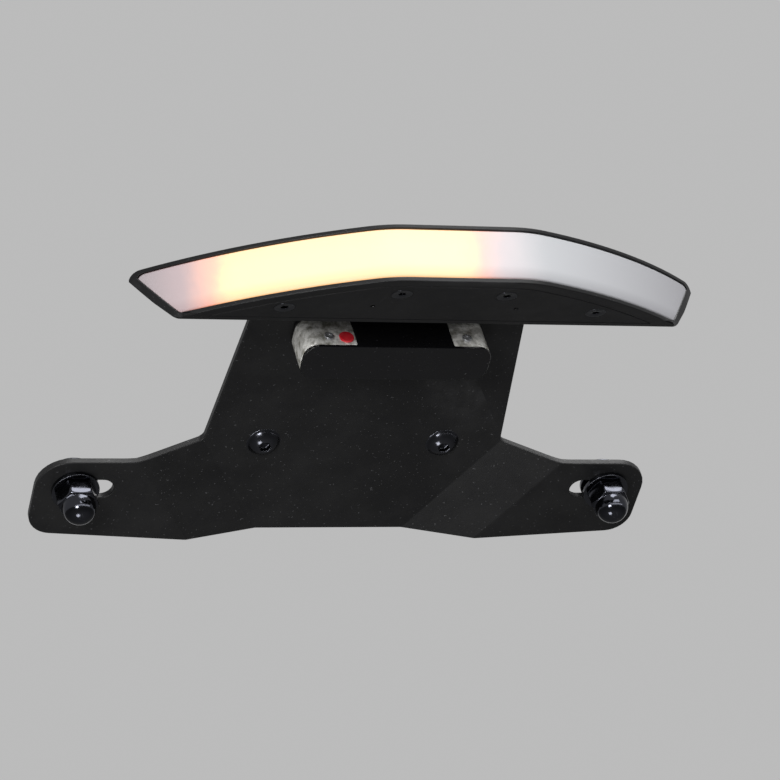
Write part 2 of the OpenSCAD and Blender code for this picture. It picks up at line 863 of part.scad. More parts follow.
// Clear window in the lamp's far side, with a flange inside the wall
module lamp_window() {
    color("#dfe6ea")
    on_neck_face(0, lamp_start)
        translate([0, lamp_l, lamp_board_mid]) {
            translate([-window_w / 2 + seat_gap, -lamp_wall, -window_h / 2 + seat_gap])
                cube([window_w - 2 * seat_gap, lamp_wall, window_h - 2 * seat_gap]);
            translate([
                -window_w / 2 - window_flange,
                -lamp_wall - window_flange_t,
                -window_h / 2 - window_flange
            ])
                cube([window_w + 2 * window_flange, window_flange_t, window_h + 2 * window_flange]);
        }
}

// Circuit board of the lamp, against the inside of its near wall
module lamp_board() {
    color("#1f5a3a")
    on_neck_face(0, lamp_board_start)
        difference() {
            translate([-lamp_board_w / 2, 0, lamp_board_low])
                cube([lamp_board_w, lamp_board_t, lamp_board_high - lamp_board_low]);
            for (side = [-1, 1]) {
                translate([side * side_screw_half, -through, side_screw_h])
                    rotate([-90, 0, 0])
                        cylinder(d = side_screw_d + 2 * thread_gap, h = lamp_board_t + 2 * through);
            }
        }
}

// Three white diodes that face the lamp's window
module lamp_diodes() {
    color("#f4ecc0")
    on_neck_face(0, lamp_board_start + lamp_board_t)
        for (i = [-1:1]) {
            translate([i * lamp_diode_pitch - lamp_diode_w / 2, 0, lamp_board_mid - lamp_diode_w / 2])
                cube([lamp_diode_w, lamp_diode_t, lamp_diode_w]);
        }
}

// Red plug in the filling hole of the lamp's near side
module lamp_plug() {
    color("#c4202a")
    on_neck_face(-plug_left, lamp_start)
        translate([0, 0, plug_h]) {
            translate([0, -plug_proud, 0]) rotate([-90, 0, 0]) cylinder(d = plug_d, h = plug_proud);
            rotate([-90, 0, 0]) cylinder(d = plug_shank_d, h = lamp_wall);
        }
}

// Two small screws that hold the lamp's board to its near side
module lamp_side_screws() {
    color("#cfd1d4")
    on_neck_face(0, lamp_start)
        for (side = [-1, 1]) {
            translate([side * side_screw_half, 0, side_screw_h]) {
                rotate([-90, 0, 0]) cylinder(d = side_screw_d, h = lamp_wall + lamp_board_t);
                rotate([90, 0, 0])
                    difference() {
                        cylinder(d = side_screw_head_d, h = side_screw_head_t);
                        translate([0, 0, side_screw_head_t * (1 - socket_depth_share)])
                            cylinder(d = side_screw_head_d * socket_share, h = side_screw_head_t, $fn = 6);
                    }
            }
        }
}

// A screw through the neck and the pad into the lamp's boss
module lamp_screw(side) {
    shank_l = sheet_t + pad_t + lamp_screw_depth - tip_l;
    color("#2a2a2c")
    neck_frame()
        translate([side * lamp_screw_gap / 2, lamp_mid, sheet_t])
            button_screw(lamp_screw_d, lamp_screw_d * button_head_share, shank_l);
}

// Button head screw through the neck, its head on the lower face
module neck_screw(side) {
    shank_l = sheet_t + collar_l + flange_nut_h + tip_l;
    color("#26272a")
    on_neck_face(side * neck_screw_gap / 2, neck_screw_t)
        button_screw(neck_screw_d, neck_screw_head_d, shank_l);
}

// Spacer collar behind the neck
module neck_collar(side) {
    color("#b9bcc0")
    neck_frame()
        translate([side * neck_screw_gap / 2, neck_screw_t, sheet_t])
            ring(collar_d, neck_screw_d + hole_gap, collar_l);
}

// Flange nut on the end of the neck screw
module neck_nut(side) {
    color("#b9bcc0")
    neck_frame()
        translate([side * neck_screw_gap / 2, neck_screw_t, sheet_t + collar_l])
            difference() {
                union() {
                    cylinder(d = flange_nut_af * flange_share, h = flange_t);
                    hexagon(flange_nut_af, flange_nut_h);
                }
                translate([0, 0, -through])
                    cylinder(d = neck_screw_d + 2 * thread_gap, h = flange_nut_h + 2 * through);
            }
}

// A place on an ear: z = 0 is a level above the ear's lower face, and +Z points away from the plate
module ear_frame(side, level) {
    neck_frame() translate([side * plate_bolt_x, slot_t, level - joggle_step]) children();
}

// Washer under the bolt's head, on the ear's upper face
module bolt_washer(side) {
    color("#2a2a2c")
    ear_frame(side, sheet_t) ring(plate_washer_d, plate_bolt_d + hole_gap, plate_washer_t);
}

// Plate bolt: its head is above the ear and its thread points down at the plate
module plate_bolt(side) {
    shank_l = sheet_t + 2 * plate_washer_t + dome_nut_h * dome_thread_share;
    color("#2a2a2c")
    ear_frame(side, sheet_t + plate_washer_t) {
        hexagon(plate_nut_af, plate_bolt_d * hex_head_share);
        translate([0, 0, -shank_l]) cylinder(d = plate_bolt_d, h = shank_l);
    }
}

// Washer under the dome nut
module nut_washer(side) {
    color("#1a1a1c")
    ear_frame(side, -plate_washer_t) ring(plate_washer_d, plate_bolt_d + hole_gap, plate_washer_t);
}

// Dome nut: hexagon, turned neck and round dome, with a blind hole
module dome_nut(side) {
    dome_r = plate_nut_af * dome_r_share;
    color("#0d0d0f")
    ear_frame(side, -plate_washer_t)
        rotate([180, 0, 0])
            difference() {
                union() {
                    hexagon(plate_nut_af, dome_nut_h * dome_hex_share);
                    cylinder(r = dome_r, h = dome_nut_h - dome_r);
                    translate([0, 0, dome_nut_h - dome_r]) sphere(r = dome_r);
                }
                translate([0, 0, -through])
                    cylinder(d = plate_bolt_d + 2 * thread_gap, h = dome_nut_h * dome_bore_share + through);
            }
}

bracket();
bar_housing();
bar_lens();
bar_base_plate();
bar_gasket();
light_strip_board();
diode_row(-1);  // diodes_left
diode_row(1);  // diodes_right
bar_base_screws();
bar_screw(-1);  // bar_screw_left
bar_screw(1);  // bar_screw_right
bar_lead_grommet();
lamp_pad();
lamp_body();
lamp_cap();
lamp_window();
lamp_board();
lamp_diodes();
lamp_plug();
lamp_side_screws();
lamp_screw(-1);  // lamp_screw_left
lamp_screw(1);  // lamp_screw_right
lamp_lead_grommet();
neck_screw(-1);  // neck_screw_left
neck_screw(1);  // neck_screw_right
neck_collar(-1);  // neck_collar_left
neck_collar(1);  // neck_collar_right
neck_nut(-1);  // neck_nut_left
neck_nut(1);  // neck_nut_right
plate_bolt(-1);  // plate_bolt_left
plate_bolt(1);  // plate_bolt_right
bolt_washer(-1);  // bolt_washer_left
bolt_washer(1);  // bolt_washer_right
nut_washer(-1);  // nut_washer_left
nut_washer(1);  // nut_washer_right
dome_nut(-1);  // dome_nut_left
dome_nut(1);  // dome_nut_right
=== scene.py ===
"""Tail tidy: folded sheet bracket, swept signal light bar, plate lamp and their fasteners.

Metres, +Z up, +Y forwards, away from the light bar's lens. The sections follow the order of
assembly.
"""
import json
import math

import bpy
import bmesh
import numpy as np
from mathutils import Matrix, Vector


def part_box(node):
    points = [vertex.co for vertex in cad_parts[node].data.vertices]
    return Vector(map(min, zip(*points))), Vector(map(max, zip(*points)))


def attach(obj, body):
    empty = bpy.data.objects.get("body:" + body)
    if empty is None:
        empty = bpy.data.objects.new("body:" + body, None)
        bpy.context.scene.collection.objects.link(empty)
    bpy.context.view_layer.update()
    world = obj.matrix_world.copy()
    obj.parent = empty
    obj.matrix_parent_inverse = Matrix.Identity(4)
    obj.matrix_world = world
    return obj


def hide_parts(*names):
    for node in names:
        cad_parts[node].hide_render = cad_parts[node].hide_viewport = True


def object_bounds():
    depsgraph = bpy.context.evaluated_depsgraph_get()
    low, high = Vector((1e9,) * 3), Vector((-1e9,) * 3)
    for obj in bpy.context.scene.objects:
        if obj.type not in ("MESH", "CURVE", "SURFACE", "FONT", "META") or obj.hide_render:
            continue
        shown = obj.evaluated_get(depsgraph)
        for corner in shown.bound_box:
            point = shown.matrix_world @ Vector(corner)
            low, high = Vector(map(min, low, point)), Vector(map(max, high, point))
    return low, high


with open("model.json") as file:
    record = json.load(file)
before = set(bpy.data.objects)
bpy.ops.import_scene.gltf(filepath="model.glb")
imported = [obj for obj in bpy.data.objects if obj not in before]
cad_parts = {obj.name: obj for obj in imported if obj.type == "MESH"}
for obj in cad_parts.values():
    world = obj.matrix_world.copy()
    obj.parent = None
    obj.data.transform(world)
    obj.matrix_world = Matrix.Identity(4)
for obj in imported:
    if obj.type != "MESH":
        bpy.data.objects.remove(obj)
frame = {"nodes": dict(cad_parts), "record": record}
cad_low, cad_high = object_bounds()


# Bracket: laser cut from 2 mm steel sheet, folded at the neck and beside both ears, its edges
# broken by tumbling, then powder coated satin black. It is the piece that all others bolt to.
MM = 0.001
COAT_EDGE = 0.32 * MM          # round that the coat leaves on a cut edge
SHARP = math.radians(30)       # edges that turn more than this are rounded
FLAT = math.radians(0.6)       # triangles that turn less than this become one face
MERGE = 0.001 * MM             # points closer than this are one
FLAT_WEIGHT = 80               # how firmly large faces hold their shading
NOISE_SPAN = (0.3, 0.7)        # where nearly all values of a noise lie
COAT_COLOUR = (0.0065, 0.0065, 0.0070)
COAT_DUST = (0.0125, 0.0125, 0.0128)
COAT_RUBBED = (0.030, 0.030, 0.031)
SPECK_COLOUR = (0.06, 0.06, 0.063)


def shader(name, colour, roughness, metallic=0.0, specular=0.5):
    """A material with its Principled shader set."""
    material = bpy.data.materials.new(name)
    material.use_nodes = True
    principled = material.node_tree.nodes["Principled BSDF"]
    principled.inputs["Base Color"].default_value = (*colour, 1)
    principled.inputs["Roughness"].default_value = roughness
    principled.inputs["Metallic"].default_value = metallic
    principled.inputs["Specular IOR Level"].default_value = specular
    return material, principled


def add_node(material, kind, **inputs):
    """A shader node of a kind, with the given inputs set by name."""
    node = material.node_tree.nodes.new(kind)
    for key, value in inputs.items():
        node.inputs[key.replace("_", " ")].default_value = value
    return node


def link(material, source, target):
    material.node_tree.links.new(source, target)


def object_noise(material, scale, detail=4.0, rough=0.6, stretch=(1, 1, 1)):
    """Noise in the object's own metres: scale is its features per metre."""
    where = add_node(material, "ShaderNodeTexCoord")
    mapping = add_node(material, "ShaderNodeMapping", Scale=stretch)
    noise = add_node(material, "ShaderNodeTexNoise", Scale=scale, Detail=detail, Roughness=rough)
    link(material, where.outputs["Object"], mapping.inputs["Vector"])
    link(material, mapping.outputs["Vector"], noise.inputs["Vector"])
    return noise.outputs["Fac"]


def span(material, source, low, high, to_low, to_high):
    """Maps a value from one range to another, clamped."""
    node = add_node(material, "ShaderNodeMapRange", From_Min=low, From_Max=high,
                    To_Min=to_low, To_Max=to_high)
    link(material, source, node.inputs["Value"])
    return node.outputs["Result"]


def math_node(material, operation, first, second):
    """One step of arithmetic between two sockets or numbers."""
    node = material.node_tree.nodes.new("ShaderNodeMath")
    node.operation = operation
    for socket, value in zip(node.inputs, (first, second)):
        if isinstance(value, (int, float)):
            socket.default_value = value
        else:
            link(material, value, socket)
    return node.outputs["Value"]


def bump_from(material, principled, height, distance, strength=1.0, below=None):
    """Adds bump of a real height in metres to the shader's normal."""
    bump = add_node(material, "ShaderNodeBump", Strength=strength, Distance=distance)
    link(material, height, bump.inputs["Height"])
    if below is not None:
        link(material, below.outputs["Normal"], bump.inputs["Normal"])
    link(material, bump.outputs["Normal"], principled.inputs["Normal"])
    return bump


def mix_colour(material, share, first, second):
    """Mixes two colours, each a socket or three numbers, by a share."""
    mix = add_node(material, "ShaderNodeMix")
    mix.data_type = "RGBA"
    colours = [socket for socket in mix.inputs if socket.type == "RGBA"]
    link(material, share, mix.inputs["Factor"])
    for socket, colour in zip(colours, (first, second)):
        if isinstance(colour, tuple):
            socket.default_value = (*colour, 1)
        else:
            link(material, colour, socket)
    return next(socket for socket in mix.outputs if socket.type == "RGBA")


def tint(material, principled, share, first, second):
    """Base colour between two colours, by a share."""
    link(material, mix_colour(material, share, first, second), principled.inputs["Base Color"])


def vary_gloss(material, principled, source, smooth, rough):
    """Roughness that follows a noise from one value to another."""
    gloss = span(material, source, *NOISE_SPAN, smooth, rough)
    link(material, gloss, principled.inputs["Roughness"])


def edge_wear(material, low=0.53, high=0.62):
    """Share of wear along outer edges: 0 on flats, 1 where the surface turns sharply outwards."""
    geometry = add_node(material, "ShaderNodeNewGeometry")
    return span(material, geometry.outputs["Pointiness"], low, high, 0, 1)


def powder_coat():
    """Satin black coat: fine orange peel, dust in patches, stray specks and rubbed edges."""
    material, principled = shader("powder_coat", COAT_COLOUR, 0.46, specular=0.27)
    patches = object_noise(material, 45, detail=6.0, rough=0.7)
    specks = span(material, object_noise(material, 1500, detail=1.0), 0.70, 0.76, 0, 1)
    breaks = object_noise(material, 160, detail=3.0)
    vary_gloss(material, principled, patches, 0.38, 0.56)
    worn = math_node(material, "MULTIPLY", edge_wear(material),
                     span(material, breaks, 0.35, 0.6, 0, 1))
    colour = mix_colour(material, span(material, patches, 0.42, 0.75, 0, 1), COAT_COLOUR, COAT_DUST)
    colour = mix_colour(material, worn, colour, COAT_RUBBED)
    tint(material, principled, specks, colour, SPECK_COLOUR)
    peel = object_noise(material, 700, detail=3.0, rough=0.55)
    peel = bump_from(material, principled, peel, 0.05 * MM, 0.6)
    grain = object_noise(material, 2600, detail=2.0, rough=0.5)
    bump_from(material, principled, grain, 0.02 * MM, 0.6, below=peel)
    return material


def dressed_copy(name, node, edge, material, ease=None):
    """A copy of a CAD node with its flats merged and its edges rounded by edge metres. An ease
    function of an edge's middle gives the share of the round, less than 1 where edges crowd."""
    mesh = bpy.data.meshes.new(name)
    work = bmesh.new()
    work.from_mesh(frame["nodes"][node].data)
    bmesh.ops.remove_doubles(work, verts=work.verts, dist=MERGE)
    bmesh.ops.dissolve_degenerate(work, edges=work.edges, dist=MERGE)
    bmesh.ops.dissolve_limit(work, angle_limit=FLAT, verts=work.verts, edges=work.edges)
    weight = work.edges.layers.float.new("bevel_weight_edge")
    for line in work.edges:
        if line.is_manifold and line.calc_face_angle() > SHARP:
            middle = (line.verts[0].co + line.verts[1].co) / 2
            line[weight] = ease(middle) if ease else 1.0
    work.to_mesh(mesh)
    work.free()
    mesh.shade_smooth()
    mesh.materials.clear()
    mesh.materials.append(material)
    piece = bpy.data.objects.new(name, mesh)
    bpy.context.scene.collection.objects.link(piece)
    bevel = piece.modifiers.new("edges", "BEVEL")
    bevel.width = edge
    bevel.segments = 3
    bevel.limit_method = "WEIGHT"
    bevel.use_clamp_overlap = False
    bevel.miter_outer = "MITER_ARC"
    flats = piece.modifiers.new("flats", "WEIGHTED_NORMAL")
    flats.weight = FLAT_WEIGHT
    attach(piece, "root")
    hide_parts(node)
    return piece


dressed_copy("bracket_coated", "bracket", COAT_EDGE, powder_coat())


# Light bar housing: injection moulded black plastic, faintly grained, with a rim round the lens
# seat. It hangs under the tongue and carries the lens, the light strip and the base plate.
HOUSING_EDGE = 0.25 * MM
HOUSING_COLOUR = (0.0045, 0.0045, 0.0050)
HOUSING_SCUFF = (0.022, 0.022, 0.023)
BAR_REAR = -44.7 * MM          # the bar's rear face: flat middle, soft corners and swept wings
BAR_FLAT = 13.7 * MM
CORNER_R = 27 * MM
CORNER_ANGLE = math.radians(20.4)
WING_R = 157 * MM
WING_X = BAR_FLAT + (CORNER_R - WING_R) * math.sin(CORNER_ANGLE)
WING_Y = BAR_REAR + CORNER_R - (CORNER_R - WING_R) * math.cos(CORNER_ANGLE)
BAR_LOW = -17.2 * MM           # height of the bar's lower face
FRONT_LOW = -17.5 * MM         # y of the leaning front face at that height
FRONT_LEAN = 0.5921            # and its lean for each unit of height
TIP_X, TIP_Z = 61 * MM, -13.6 * MM     # the tips' low ends lie past this x, below this height
FULL_ROUND = 1.2 * MM          # thickness of the bar from which its edges get their full round


def bar_curve(x, depth):
    """Y of the bar's rear curve at x, taken in by a depth: a line to the end of the flat, then an
    arc of the corner radius, then an arc of the wing radius, both radii less the depth."""
    out = np.abs(x)
    corner, wing = CORNER_R - depth, WING_R - depth
    on_corner = BAR_REAR + CORNER_R - np.sqrt(np.maximum(corner ** 2 - (out - BAR_FLAT) ** 2, 0))
    on_wing = WING_Y - np.sqrt(wing ** 2 - (out - WING_X) ** 2)
    past_flat = np.where(out < BAR_FLAT + corner * math.sin(CORNER_ANGLE), on_corner, on_wing)
    return np.where(out < BAR_FLAT, BAR_REAR + depth, past_flat)


def bar_front(z):
    """Y of the bar's leaning front face at a height."""
    return FRONT_LOW + (z - BAR_LOW) * FRONT_LEAN


def tip_ease(middle):
    """Share of the round at a place on the bar: it grows with the bar's thickness from the tips'
    thin edge. There is none at their low ends, where the seat's and the pocket's edges crowd."""
    if abs(middle.x) > TIP_X and middle.z < TIP_Z:
        return 0.0
    thickness = bar_front(middle.z) - float(bar_curve(middle.x, 0))
    return min(max(thickness / FULL_ROUND, 0.0), 1.0)


def moulded_black(name, colour, scuff, roughness, grain):
    """Black plastic from a spark eroded mould: fine grain, uneven gloss, paler scuffed edges."""
    material, principled = shader(name, colour, roughness, specular=0.30)
    patches = object_noise(material, 60, detail=5.0, rough=0.65)
    vary_gloss(material, principled, patches, roughness - 0.07, roughness + 0.09)
    worn = math_node(material, "MULTIPLY", edge_wear(material),
                     span(material, patches, 0.4, 0.62, 0, 1))
    specks = span(material, object_noise(material, 1700, detail=1.0), 0.71, 0.77, 0, 0.7)
    tinted = mix_colour(material, worn, colour, scuff)
    tint(material, principled, specks, tinted, SPECK_COLOUR)
    bump_from(material, principled, object_noise(material, 3200, detail=2.0, rough=0.6), grain, 0.7)
    return material


housing_black = moulded_black("moulded_black", HOUSING_COLOUR, HOUSING_SCUFF, 0.42, 0.015 * MM)
dressed_copy("bar_housing_moulded", "bar_housing", HOUSING_EDGE, housing_black,
             ease=tip_ease)


# Light strip: a white flexible circuit board behind the lens, with seven surface mounted diodes
# in each half. It is held between the window's frame and the bosses inside the housing.
def carried_over(node, material):
    """A CAD node that stays as it is and takes a material."""
    slots = frame["nodes"][node].data.materials
    slots.clear()
    slots.append(material)


def solder_mask(name, colour, shade, ridge):
    """Circuit board under its lacquer: colour varied over raised tracks."""
    material, principled = shader(name, colour, 0.34)
    tracks = object_noise(material, 520, detail=1.0, stretch=(0.35, 1, 1))
    tint(material, principled, span(material, tracks, 0.47, 0.53, 0, 1), colour, shade)
    vary_gloss(material, principled, object_noise(material, 150), 0.28, 0.42)
    bump_from(material, principled, span(material, tracks, 0.46, 0.54, 0, 1), ridge)
    return material


def resin_over_chip(name, resin, chip):
    """Moulded diode: pale resin with a stronger tint where the chip's phosphor shows through."""
    material, principled = shader(name, resin, 0.2)
    blot = object_noise(material, 380, detail=2.0)
    tint(material, principled, span(material, blot, 0.42, 0.58, 0, 1), resin, chip)
    vary_gloss(material, principled, blot, 0.14, 0.28)
    bump_from(material, principled, blot, 0.02 * MM, 0.4)
    return material


white_board = solder_mask("white_flex_board", (0.78, 0.77, 0.72), (0.66, 0.64, 0.58), 0.03 * MM)
carried_over("light_strip_board", white_board)
amber_diode = resin_over_chip("amber_diode", (0.86, 0.74, 0.36), (0.90, 0.52, 0.08))
carried_over("diodes_left", amber_diode)
carried_over("diodes_right", amber_diode)


# Lens: one frosted white moulding that drops into the housing's seat, its face just behind the
# rims. The left half is lit amber from behind; the right half only carries a little of that light.
END_ROUND = 1.9 * MM           # reach of the round at an end's top corner; the lower two have less
SHOULDER_Z = -6 * MM           # the end is upright above this height and slants inwards below it
END_SLOPE = 0.8214             # width that it gains there for each unit of height
LENS_T = 2.4 * MM
LENS_THIN = 0.05 * MM          # least thickness, along the slanted ends
TIP_WALL = 1.74 * MM           # housing and gap in front of the lens at the tips
LENS_EDGE = 0.45 * MM          # radius of the face's edges
LENS_EDGE_SHARE = 0.3          # and its most as a share of the thickness
LENS_ENDS = (0, 0.09, 0.22, 0.45)      # millimetres from each end to its first stations
LENS_END_ZONE = 1.2 * MM       # even stations start here
LENS_WHITE = (0.465, 0.474, 0.491)
# painted shade: the colour the lens darkens to towards its ends
LENS_PAINTED_END_SHADE = (0.300, 0.298, 0.315)
# painted shade: the colour along the lens's lower edge
LENS_PAINTED_FOOT_SHADE = (0.188, 0.185, 0.199)
# painted light: the paler warm base colour where the lens is lit
LENS_PAINTED_LIT_BASE = (0.375, 0.375, 0.338)
GLOW_LEFT = -58.5 * MM         # ends of the lit stretch
GLOW_RIGHT = 6 * MM
HALO = (-2.7, 5, 0, 7)         # millimetres: shift of the left end, its softness, then the right
CORE = (2, 3.2, -4, 5)
LEAK = (-13, 12, 8, 12)
HALO_COLOUR = (0.62, 0.155, 0.040)
CORE_COLOUR = (0.20, 0.50, 0.08)
LEAK_COLOUR = (0.22, 0.09, 0.08)
SEAM = 0.0001 * MM             # points of a grid closer than this are one
lens_low, lens_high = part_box("bar_lens")
LENS_MID = (lens_low.z + lens_high.z) / 2


def soft_corners(corners, steps=5):
    """Turns (first, second, reach) corners into a smooth line. Each corner p with a reach is a
    quadratic curve (1-t)^2 a + 2t(1-t) p + t^2 b, from a point a at that reach before it to b
    after it."""
    corners = np.array(corners, float)
    t = np.linspace(0, 1, steps)[:, None]
    rows = [corners[:1, :2]]
    for before, here, after in zip(corners[:-2], corners[1:-1], corners[2:]):
        point, reach = here[:2], here[2]
        if reach == 0:
            rows.append(point[None])
            continue
        back, on = before[:2] - point, after[:2] - point
        a = point + back / np.linalg.norm(back) * reach
        b = point + on / np.linalg.norm(on) * reach
        flat_a, flat_b = a + 0.15 * (a - point), b + 0.15 * (b - point)
        curve = (1 - t) ** 2 * a + 2 * t * (1 - t) * point + t ** 2 * b
        rows.append(np.concatenate((flat_a[None], curve, flat_b[None])))
    rows.append(corners[-1:, :2])
    return np.concatenate(rows)


def skin(name, grids, nodes, material):
    """One piece from grids of points. Each grid's rows run from end to end and its columns go
    round; every four neighbours make a face, and points that fall together become one."""
    vertices, faces, start = [], [], 0
    for points in grids:
        rows, columns = points.shape[:2]
        index = start + np.arange(rows * columns).reshape(rows, columns)
        around = np.roll(index, -1, axis=1)
        quads = np.stack((index[:-1], around[:-1], around[1:], index[1:]), axis=-1)
        vertices.append(points.reshape(-1, 3))
        faces.append(quads.reshape(-1, 4))
        start += rows * columns
    mesh = bpy.data.meshes.new(name)
    mesh.from_pydata(np.concatenate(vertices), [], np.concatenate(faces).tolist())
    work = bmesh.new()
    work.from_mesh(mesh)
    bmesh.ops.remove_doubles(work, verts=work.verts, dist=SEAM)
    bmesh.ops.recalc_face_normals(work, faces=work.faces)
    work.to_mesh(mesh)
    work.free()
    mesh.shade_smooth()
    mesh.materials.append(material)
    piece = bpy.data.objects.new(name, mesh)
    bpy.context.scene.collection.objects.link(piece)
    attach(piece, "root")
    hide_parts(*nodes)
    return piece


def lens_grid(stations=150, levels=36):
    """The lens as a closed grid. Its face lies at depth r + e (1 - sqrt(1 - s^2)): r is the recess,
    e the edge's radius, less where the lens is thin, and s a point's share of the edge zone. Its
    back is at r + thickness, or nearer where the housing's leaning front wall cuts it off. The
    outline ends where that wall comes within the least thickness, at
    x = wing x + sqrt(R^2 - (wing y - y)^2) on the wall's y. Every row is one station along the
    width, from low to top on the face and down again on the back."""
    share = (1 - np.cos(np.linspace(0, math.pi, levels))) / 2
    z = lens_low.z + (lens_high.z - lens_low.z) * share
    half = lens_high.x
    low_half = half - (SHOULDER_Z - lens_low.z) * END_SLOPE
    end = soft_corners(((0, lens_low.z, 0), (low_half, lens_low.z, 0.5 * END_ROUND),
                        (half, SHOULDER_Z, 0.35 * END_ROUND), (half, lens_high.z, END_ROUND),
                        (0, lens_high.z, 0)), 15)
    recess = lens_low.y - BAR_REAR
    wall = bar_front(z) - TIP_WALL
    wing = WING_R - recess - LENS_THIN
    reach = np.minimum(np.interp(z, end[1:-1, 1], end[1:-1, 0]),
                       WING_X + np.sqrt(wing ** 2 - (WING_Y - wall) ** 2))
    near_end = np.array(LENS_ENDS) * MM / half
    inner = 1 - LENS_END_ZONE / half
    u = np.concatenate((-1 + near_end, np.linspace(-inner, inner, stations), 1 - near_end[::-1]))
    x = u[:, None] * reach
    to_edge = np.minimum(z - lens_low.z, lens_high.z - z)[None]
    q_level = np.maximum(LENS_EDGE - to_edge, 0)
    q_end = np.maximum(LENS_EDGE - (reach - np.abs(x)), 0)
    into = np.minimum(np.hypot(q_level, q_end) / LENS_EDGE, 1)
    back = np.minimum(bar_curve(x, recess + LENS_T), wall)
    edge = np.minimum(LENS_EDGE, LENS_EDGE_SHARE * (back - bar_curve(x, recess)))
    face = bar_curve(x, recess + edge * (1 - np.sqrt(1 - into ** 2)))
    seam = (face + back) / 2
    face = np.concatenate((seam[:1], face, seam[-1:]))
    back = np.concatenate((seam[:1], back, seam[-1:]))
    x = np.concatenate((x[:1], x, x[-1:]))
    heights = np.broadcast_to(z, x.shape)
    sides = [np.stack((x, y, heights), axis=-1) for y in (face, back)]
    return np.concatenate((sides[0], sides[1][:, ::-1]), axis=1)


def fade(material, where, middle, reach):
    """A share that rises from 0 to 1 across a place, in a smooth S of a reach to each side."""
    node = add_node(material, "ShaderNodeMapRange", From_Min=middle - reach,
                    From_Max=middle + reach)
    node.interpolation_type = "SMOOTHERSTEP"
    link(material, where, node.inputs["Value"])
    return node.outputs["Result"]


def frosted_lens():
    """Frosted plastic with amber light behind it: a wide orange halo and a narrow yellow core. Its
    colour also carries painted shade towards both ends and along the lower edge, and painted warm
    light where it is lit.
    """
    material, principled = shader("frosted_lens", LENS_WHITE, 0.5, specular=0.3)
    where = add_node(material, "ShaderNodeTexCoord")
    parts = add_node(material, "ShaderNodeSeparateXYZ")
    link(material, where.outputs["Object"], parts.inputs["Vector"])
    x, z = parts.outputs["X"], parts.outputs["Z"]

    cloud = object_noise(material, 70, detail=3.0)
    drift = math_node(material, "MULTIPLY", math_node(material, "SUBTRACT", cloud, 0.5), 6 * MM)
    x_soft = math_node(material, "ADD", x, drift)
    vary_gloss(material, principled, cloud, 0.44, 0.58)

    def stretch_of_light(left, left_reach, right, right_reach):
        rise = fade(material, x_soft, GLOW_LEFT + left * MM, left_reach * MM)
        gone = fade(material, x_soft, GLOW_RIGHT + right * MM, right_reach * MM)
        return math_node(material, "MULTIPLY", rise, math_node(material, "SUBTRACT", 1.0, gone))

    height = math_node(material, "ABSOLUTE", math_node(material, "SUBTRACT", z, LENS_MID), 0.0)
    across = span(material, height, 2.0 * MM, 7.4 * MM, 1, 0.35)
    halo, leak = stretch_of_light(*HALO), stretch_of_light(*LEAK)
    core = math_node(material, "MULTIPLY", stretch_of_light(*CORE), across)
    # painted shade: from 15 mm out, the lens's colour darkens towards both ends
    painted_end_shade = span(material, math_node(material, "ABSOLUTE", x, 0.0), 15 * MM, lens_high.x, 0, 1)
    body = mix_colour(material, painted_end_shade, LENS_WHITE, LENS_PAINTED_END_SHADE)
    # painted light: the lit stretch takes a warm paler base colour, on top of its glow
    body = mix_colour(material, halo, body, LENS_PAINTED_LIT_BASE)
    # painted shade: darker along the lens's lower 3.4 mm, more so where it is lit
    foot = math_node(material, "MULTIPLY",
                     span(material, z, lens_low.z, lens_low.z + 3.4 * MM, 0.9, 0),
                     span(material, halo, 0, 1, 0.6, 1))
    tint(material, principled, foot, body, LENS_PAINTED_FOOT_SHADE)
    black = (0.0, 0.0, 0.0)
    glow = mix_colour(material, halo, black, HALO_COLOUR)
    for share, colour in ((core, CORE_COLOUR), (leak, LEAK_COLOUR)):
        tinted = mix_colour(material, share, black, colour)
        add = add_node(material, "ShaderNodeVectorMath")
        add.operation = "ADD"
        link(material, glow, add.inputs[0])
        link(material, tinted, add.inputs[1])
        glow = add.outputs["Vector"]
    link(material, glow, principled.inputs["Emission Color"])
    principled.inputs["Emission Strength"].default_value = 1.0
    bump_from(material, principled, object_noise(material, 2400, detail=2.0), 0.012 * MM, 0.5)
    return material


skin("lens_frosted", [lens_grid()], ["bar_lens"], frosted_lens())


# Base plate and gasket: the plate is moulded like the housing and closes the bar from below,
# pressed on a rubber gasket by four countersunk screws. Two pinholes let the bar breathe.
RUBBER_COLOUR = (0.012, 0.012, 0.012)
RUBBER_BLOOM = (0.030, 0.030, 0.030)


def matt_rubber():
    """Moulded rubber: matt, finely pitted, with a little grey bloom."""
    material, principled = shader("matt_rubber", RUBBER_COLOUR, 0.78, specular=0.3)
    bloom = object_noise(material, 210, detail=5.0)
    tint(material, principled, span(material, bloom, 0.5, 0.75, 0, 1), RUBBER_COLOUR, RUBBER_BLOOM)
    vary_gloss(material, principled, bloom, 0.7, 0.86)
    bump_from(material, principled, object_noise(material, 2800, detail=3.0), 0.02 * MM, 0.7)
    return material


rubber = matt_rubber()
carried_over("bar_gasket", rubber)
dressed_copy("base_plate_moulded", "bar_base_plate", 0.2 * MM, housing_black)


